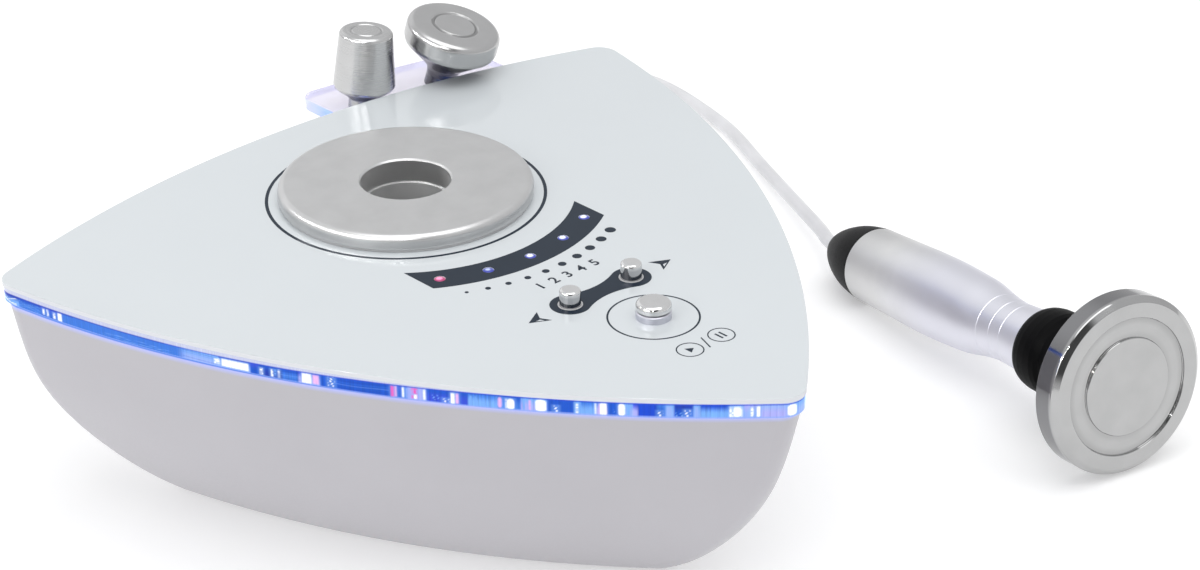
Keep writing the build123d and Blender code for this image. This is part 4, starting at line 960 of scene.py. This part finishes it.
# A pale rubber ring fills the gap under the disc. Its pale colour stands in for light there: painted light in place of
# the gap's shade.
lathe("pale_fill_under_disc", [([(34.0, 78.0, 0.05), (38.0, 78.0, 0.05), (38.15, 78.35, 0.2), (38.0, 78.7, 0.05), (34.0, 78.7, 0.05)], (0, 0, 0), Z, True, False)], [M["greyrub"]], "console", seg=192)
for nm, x, bd in (("minus_cap", -PIN_X, "minus_key"), ("plus_cap", PIN_X, "plus_key")):
    lo_b, hi_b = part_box("minus_button" if x < 0 else "plus_button")
    zb = lo_b[2] / MM
    lathe(nm, [([(0, zb), (1.5, zb, 0.2), (1.5, 70.15, 0.1), (4.6, 70.15, 0.2), (4.6, 71.3, 0.2), (3.1, 71.3, 0.05), (3.1, 83.0, 0.95), (0, 83.0)], (x, PIN_Y, 0), Z, False, False)],
          [M["pin_cap"]], bd, ("minus_button" if x < 0 else "plus_button",), seg=72)
lathe("pin_seals", [([(3.16, 77.2, 0.05), (3.44, 77.2, 0.05), (3.44, 78.02, 0.02), (3.58, 78.02, 0.03), (3.58, 78.2, 0.08), (3.16, 78.2, 0.08)], (x, PIN_Y, 0), Z, True, False) for x in (-PIN_X, PIN_X)],
      [M["greyrub"]], "console", seg=72)


def spring(name, x, y, z0, z1, r, wire, turns, node):
    """Wound wire from its foot on the carrier up to the key, as a fixed mesh."""
    verts, faces, n, k = [], [], 40 * turns, 12
    h = z1 - z0 - 2 * wire
    for i in range(n + 1):
        t = i / n * turns * 2 * math.pi
        u = Vector((math.cos(t), math.sin(t), 0))
        along = Vector((-r * math.sin(t), r * math.cos(t), h / (turns * 2 * math.pi))).normalized()
        side = along.cross(u)
        c = Vector((x, y, z0 + wire + h * i / n)) + u * r
        for j in range(k):
            a = 2 * math.pi * j / k
            verts.append((c + u * (wire * math.cos(a)) + side * (wire * math.sin(a))) * MM)
    for i in range(n):
        for j in range(k):
            j2 = (j + 1) % k
            faces.append((i * k + j, i * k + j2, (i + 1) * k + j2, (i + 1) * k + j))
    faces.append(tuple(range(k))[::-1])
    faces.append(tuple(n * k + j for j in range(k)))
    me = finish_mesh(name, verts, faces)
    bm = bmesh.new()
    bm.from_mesh(me)
    bmesh.ops.recalc_face_normals(bm, faces=bm.faces)
    bm.to_mesh(me)
    bm.free()
    me.set_sharp_from_angle(angle=math.radians(50))
    me.materials.append(M["screw"])
    o = bpy.data.objects.new(name, me)
    scene.collection.objects.link(o)
    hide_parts(node)
    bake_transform(o)


spring("minus_spring_wound", -PIN_X, PIN_Y, 65.0, 70.15, 2.5, 0.25, 4, "minus_spring")
spring("plus_spring_wound", PIN_X, PIN_Y, 65.0, 70.15, 2.5, 0.25, 4, "plus_spring")
spring("play_spring_wound", 0.0, PLAY_Y, 65.0, 69.5, 3.6, 0.3, 4, "play_spring")

# ---------------------------------------------------------------------------
# heads and handpiece
# ---------------------------------------------------------------------------
lathe("spare_eye_head", [([
    (0, 0), (4.45, 0, 0.3), (4.95, -0.42, 0.35), (5.45, 0, 0.35), (8.6, 0.0, 1.9), (10.05, -18.0, 0.4), (10.1, -18.6, 0.5), (9.75, -19.4, 0.5), (5.4, -22.6, 0.4), (5.0, -23.2, 0.3), (5.0, -26.5, 0.3), (0, -26.5)
], EYE_TOP, EYE_DIR, False, True)], [M["eye"]], "eye_tool", ("eye_head",), seg=144)
lathe("spare_face_head", [([
    (0, 0), (6.5, 0, 0.35), (6.95, -0.5, 0.25), (7.5, -0.5, 0.25), (7.95, 0, 0.35), (15.5, 0, 2.6), (15.5, -6.3, 0.8), (15.1, -7.6, 0.8), (12.4, -9.8, 1.2), (9.3, -12.5, 2.5), (6.5, -15.0, 2.0), (5.5, -16.6, 1.5), (5.1, -18.4, 1.0), (5.1, -22.9, 0.3), (0, -22.9)
], FACE_TOP, FACE_DIR, False, True)], [M["steel"]], "face_tool", ("face_head",), seg=160)
lathe("flat_body_head", [([
    (0, 1.5), (15.3, 1.5, 0.16), (15.5, 1.3, 0.12), (15.5, 0.75, 0.16), (21.5, 0.75, 0.16), (21.7, 0.95, 0.12), (21.7, 1.3, 0.12), (21.9, 1.5, 0.16), (26.4, 1.5, 0.45), (28.2, 0.0, 0.95), (28.2, -6.9, 0.3), (27.7, -7.4, 0.25), (0, -7.4)
], HAND_FACE, HAND_AX, False, True)], [M["chrome"]], "body_tool", ("body_head",), seg=224)
lathe("neck_collar_turned", [([
    (6.0, -7.55, 0.1), (10.6, -7.55, 0.3), (10.9, -12.0, 0.5), (11.1, -18.0, 2.0), (11.5, -24.0, 2.0), (12.0, -26.8, 0.9), (13.05, -28.0, 0.8), (13.5, -29.6, 1.5), (13.6, -32.4, 3.0), (13.5, -35.2, 3.0), (13.1, -37.4, 2.5), (12.5, -38.8, 1.2), (11.8, -39.5, 0.8), (10.9, -39.7, 0.3), (6.0, -39.7, 0.1)
], HAND_FACE, HAND_AX, True, True)], [M["collar"]], "handpiece", ("neck_collar",), seg=144)

SLEEVE = [(10.65, -39.7), (10.45, -43.5), (10.3, -46.8), (10.1, -50.4), (10.0, -53.8), (10.2, -57.1), (10.6, -60.5), (11.15, -63.8), (11.85, -67.2), (12.45, -70.6), (12.75, -73.9), (12.95, -77.3), (13.3, -84.0), (13.5, -90.7), (13.45, -100.8), (13.25, -107.5), (13.1, -114.0), (12.9, -121.0), (12.75, -128.6)]
line = smooth_line(SLEEVE, 0.8)
prof = []
for r, z in line:
    if any(abs(z - g) < 0.75 for g in (-60.0, -54.5, -49.2)):
        continue
    if abs(z - line[0][1]) < 0.05:
        prof.append((r, z, 0.4))
    elif abs(z - line[-1][1]) < 0.05:
        prof.append((r, z, 0.25))
    else:
        prof.append((r, z, 0.0))


def sleeve_r(z):
    for (r0, z0), (r1, z1) in zip(line, line[1:]):
        if z1 <= z <= z0:
            return r0 + (r1 - r0) * (z - z0) / (z1 - z0)
    return line[0][0]


for g in (-60.0, -54.5, -49.2):
    for dz, dr, f in ((0.3, 0.0, 0.1), (0.1, -0.15, 0.1), (-0.1, -0.15, 0.1), (-0.3, 0.0, 0.1)):
        prof.append((sleeve_r(g + dz) + dr, g + dz, f))
prof.sort(key=lambda q: -q[1])
prof += [(8.0, -128.6, 0.1), (8.0, -39.7, 0.1)]
lathe("handle_shell", [(prof, HAND_FACE, HAND_AX, True, True)], [M["sleeve"]], "handpiece", ("handle_sleeve",), seg=176)

DOME = [(12.75, -128.6), (12.5, -131.0), (12.0, -134.2), (11.25, -137.4), (10.2, -140.5), (8.95, -143.5), (7.4, -146.5), (5.6, -149.2), (4.0, -151.0)]
dome = smooth_line(DOME, 0.8)
dprof = [(r, z, 0.15 if i in (0, len(dome) - 1) else 0.0) for i, (r, z) in enumerate(dome)]
dprof += [(3.42, -151.0, 0.05), (3.42, -146.0, 0.1), (8.0, -136.0, 0.3), (10.2, -128.6, 0.1)]
lathe("tail_dome", [(dprof, HAND_FACE, HAND_AX, True, True)], [M["black"]], "handpiece", ("tail_cap",), seg=144)

# ---------------------------------------------------------------------------
# cord: one spline from the plug through the put-away coil to the handpiece's tail
# ---------------------------------------------------------------------------
TAIL_PT = HAND_FACE + HAND_AX * TAIL_S
LEAD = [(11.0, 90.0, 47.0), (11.0, 99.5, 47.0), (11.0, 108.0, 41.2), (10.6, 119.5, 31.5), (10.4, 130.0, 21.0), (13.0, 140.0, 11.5), (20.5, 150.0, 4.4), (33.0, 157.0, 3.0), (48.0, 158.5, 5.6), (63.0, 156.1, 7.85), (77.0, 156.1, 7.85)]
TAIL = [(113.0, 156.1, 3.05), (134.0, 156.1, 3.05), (153.0, 151.0, 2.45), (173.0, 153.5, 2.45), (192.0, 157.0, 2.45), (209.0, 154.5, 2.45), (222.0, 145.0, 2.45), (227.2, 130.5, 2.45), (226.0, 113.5, 2.45), (222.2, 95.8, 2.45), (217.8, 79.5, 2.45), (213.0, 67.7, 2.45), (206.5, 55.0, 2.9), (200.1, 42.3, 3.6), (192.3, 26.8, 4.8), (184.5, 11.3, 6.0), (178.8, 0.2, 7.0), (173.1, -10.9, 8.0), tuple(TAIL_PT - HAND_AX * 5.0), tuple(TAIL_PT)]
COIL_C, TURN_R = (95.0, 125.0), (31.1, 26.3, 21.5)
PER = 16


def jog(t, a, b):
    t = max(0.0, min(1.0, (t - a) / (b - a)))
    return t * t * (3 - 2 * t)


turns = []
for k in range(6 * PER + 1):
    turn, part = divmod(k / PER, 1.0)
    turn = int(turn)
    if k == 6 * PER:
        turn, part = 5, 1.0
    if turn < 2:
        r = TURN_R[turn] + (TURN_R[turn + 1] - TURN_R[turn]) * jog(part, 0.83, 1.0)
        z = 7.85
    elif turn == 2:
        r = 21.5 - 4.5 * jog(part, 0.83, 1.0)
        z = 7.85 - 2.4 * jog(part, 0.83, 1.0)
    elif turn == 3:
        r = 17.0 + 4.5 * jog(part, 0.0, 0.17)
        z = 5.45 - 2.4 * jog(part, 0.0, 0.17)
    else:
        r = TURN_R[6 - turn] + (TURN_R[5 - turn] - TURN_R[6 - turn]) * jog(part, 0.0, 0.17)
        z = 3.05
    a = math.pi / 2 - 2 * math.pi * k / PER
    turns.append((COIL_C[0] + r * math.cos(a), COIL_C[1] + r * math.sin(a), z))
ROUTE = LEAD + turns + TAIL


def spline_points(route, res=6):
    c = bpy.data.curves.new("route", "CURVE")
    c.dimensions = "3D"
    c.resolution_u = res
    s = c.splines.new("NURBS")
    s.points.add(len(route) - 1)
    for q, pt in zip(s.points, route):
        q.co = (pt[0] * MM, pt[1] * MM, pt[2] * MM, 1.0)
    s.order_u = 3
    s.use_endpoint_u = True
    t = bpy.data.objects.new("route", c)
    scene.collection.objects.link(t)
    me = bpy.data.meshes.new_from_object(t.evaluated_get(bpy.context.evaluated_depsgraph_get()))
    pts = [v.co.copy() for v in me.vertices]
    bpy.data.objects.remove(t)
    bpy.data.curves.remove(c)
    bpy.data.meshes.remove(me)
    return pts


path = spline_points(ROUTE)
verts, normals, faces = [], [], []
SEG, CR_M = 20, 0.0024
ref = Vector((0, 0, 1))
prev = None
for i, q in enumerate(path):
    d = (path[min(i + 1, len(path) - 1)] - path[max(i - 1, 0)]).normalized()
    if prev is None:
        n1 = d.orthogonal().normalized()
    else:
        n1 = (prev - d * prev.dot(d)).normalized()
    prev = n1
    n2 = d.cross(n1)
    for k in range(SEG):
        a = 2 * math.pi * k / SEG
        v = n1 * math.cos(a) + n2 * math.sin(a)
        verts.append(q + v * CR_M)
        normals.append(v)
for i in range(len(path) - 1):
    for k in range(SEG):
        k2 = (k + 1) % SEG
        faces.append((i * SEG + k, i * SEG + k2, (i + 1) * SEG + k2, (i + 1) * SEG + k))
faces.append(tuple(range(SEG))[::-1])
faces.append(tuple(range((len(path) - 1) * SEG, len(path) * SEG)))
me = finish_mesh("cord_run", verts, faces)
me.set_sharp_from_angle(angle=math.radians(60))
cord = bpy.data.objects.new("cord_run", me)
scene.collection.objects.link(cord)
me.materials.append(M["cord"])
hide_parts("cord_tail", "cord_lead", "cord_coil")
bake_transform(cord)

# ---------------------------------------------------------------------------
# camera, floor and light
# ---------------------------------------------------------------------------
cam_data = bpy.data.cameras.new("camera")
cam = bpy.data.objects.new("camera", cam_data)
scene.collection.objects.link(cam)
fwd = Vector((0.5986, 0.6490, -0.4695)).normalized()
right = Vector((0.73508, -0.67798, 0.0)).normalized()
up = right.cross(fwd)
roll = math.radians(-0.7355)
r2 = right * math.cos(roll) + up * math.sin(roll)
u2 = up * math.cos(roll) - right * math.sin(roll)
rot = Matrix((r2, u2, -fwd)).transposed()
cam.matrix_world = Matrix.Translation(Vector((-518.34, -647.62, 486.25)) * MM) @ rot.to_4x4()
cam_data.sensor_fit = "HORIZONTAL"
cam_data.sensor_width = 36.0
cam_data.lens = 3058.76 / 1200 * 36.0
cam_data.clip_start, cam_data.clip_end = 0.01, 100.0
scene.camera = cam

world = bpy.data.worlds.new("studio")
scene.world = world
world.use_nodes = True
wn = world.node_tree
bg = wn.nodes["Background"]
tc = wn.nodes.new("ShaderNodeTexCoord")
sep = wn.nodes.new("ShaderNodeSeparateXYZ")
wn.links.new(tc.outputs["Generated"], sep.inputs[0])
wr = wn.nodes.new("ShaderNodeValToRGB")
wr.color_ramp.elements[0].position, wr.color_ramp.elements[0].color = 0.0, (0.62, 0.62, 0.63, 1)
wr.color_ramp.elements[1].position, wr.color_ramp.elements[1].color = 1.0, (0.95, 0.96, 0.97, 1)
e = wr.color_ramp.elements.new(0.5)
e.color = (0.86, 0.86, 0.87, 1)
mr = wn.nodes.new("ShaderNodeMapRange")
mr.inputs["From Min"].default_value, mr.inputs["From Max"].default_value = -1.0, 1.0
wn.links.new(sep.outputs[2], mr.inputs["Value"])
wn.links.new(mr.outputs[0], wr.inputs["Fac"])
wn.links.new(wr.outputs[0], bg.inputs["Color"])


def region(direction, edge, core, level):
    """Background level that changes inside a soft-edged cone of directions."""
    vm = wn.nodes.new("ShaderNodeVectorMath")
    vm.operation = "DOT_PRODUCT"
    wn.links.new(tc.outputs["Generated"], vm.inputs[0])
    vm.inputs[1].default_value = tuple(Vector(direction).normalized())
    r = wn.nodes.new("ShaderNodeMapRange")
    r.interpolation_type = "SMOOTHSTEP"
    wn.links.new(vm.outputs["Value"], r.inputs["Value"])
    for nm, x in (("From Min", math.cos(math.radians(edge))), ("From Max", math.cos(math.radians(core))), ("To Min", 1.0), ("To Max", level)):
        r.inputs[nm].default_value = x
    return r.outputs["Result"]


dark_side = region((-0.60, -0.52, 0.61), 36, 24, 0.12)
bright_back = region((0.12, 0.90, 0.40), 30, 12, 1.35)
mu = wn.nodes.new("ShaderNodeMath")
mu.operation = "MULTIPLY"
wn.links.new(dark_side, mu.inputs[0])
wn.links.new(bright_back, mu.inputs[1])
mu2 = wn.nodes.new("ShaderNodeMath")
mu2.operation = "MULTIPLY"
wn.links.new(mu.outputs[0], mu2.inputs[0])
mu2.inputs[1].default_value = 0.83
wn.links.new(mu2.outputs[0], bg.inputs["Strength"])


def area(name, loc, aim, size, power, colour=(1, 1, 1), size_y=None, shape="RECTANGLE"):
    d = bpy.data.lights.new(name, "AREA")
    d.shape = shape
    d.size, d.size_y = size, size_y or size
    d.energy = power
    d.color = colour
    o = bpy.data.objects.new(name, d)
    scene.collection.objects.link(o)
    o.location = loc
    o.rotation_mode = "QUATERNION"
    o.rotation_quaternion = (Vector(aim) - Vector(loc)).to_track_quat("-Z", "Y")
    return o


area("softbox_top", (-0.05, -0.3, 1.5), (0, 0, 0), 1.4, 10.0)
area("softbox_left", (-1.5, -0.3, 0.9), (0, 0, 0.05), 0.9, 5.0)

def bearing(side, height, dist, centre=(0.05, 0.06, 0.09)):
    """A point seen from the object at so many degrees left of the camera and above the floor."""
    a, b = math.radians(side), math.radians(height)
    d = Vector((-0.678, -0.735, 0)) * (math.cos(a) * math.cos(b)) + Vector((-0.735, 0.678, 0)) * (math.sin(a) * math.cos(b)) + Vector((0, 0, math.sin(b)))
    return tuple(Vector(centre) + d * dist)


for i, (sd, ht, sz, pw) in enumerate(((95, 25, 0.05, 4.0), (60, 30, 0.05, 4.0), (38, 32, 0.05, 3.5), (4, 35, 0.06, 5.0))):
    lamp = area("glint_%d" % i, bearing(sd, ht, 1.6), (0.06, 0.0, 0.08), sz, pw, shape="DISK")
    lamp.visible_diffuse = False


fm = bpy.data.meshes.new("floor")
S = 6.0
fm.from_pydata([(-S, -S, -0.0002), (S, -S, -0.0002), (S, S, -0.0002), (-S, S, -0.0002)], [], [(0, 1, 2, 3)])
floor = bpy.data.objects.new("floor", fm)
scene.collection.objects.link(floor)
mf = Mat("studio_floor", base=(0.72, 0.72, 0.72, 1), rough=0.9, spec=0.1)
mf.set("Emission Color", (1, 1, 1, 1))
mf.set("Emission Strength", 0.40)
fm.materials.append(mf.m)
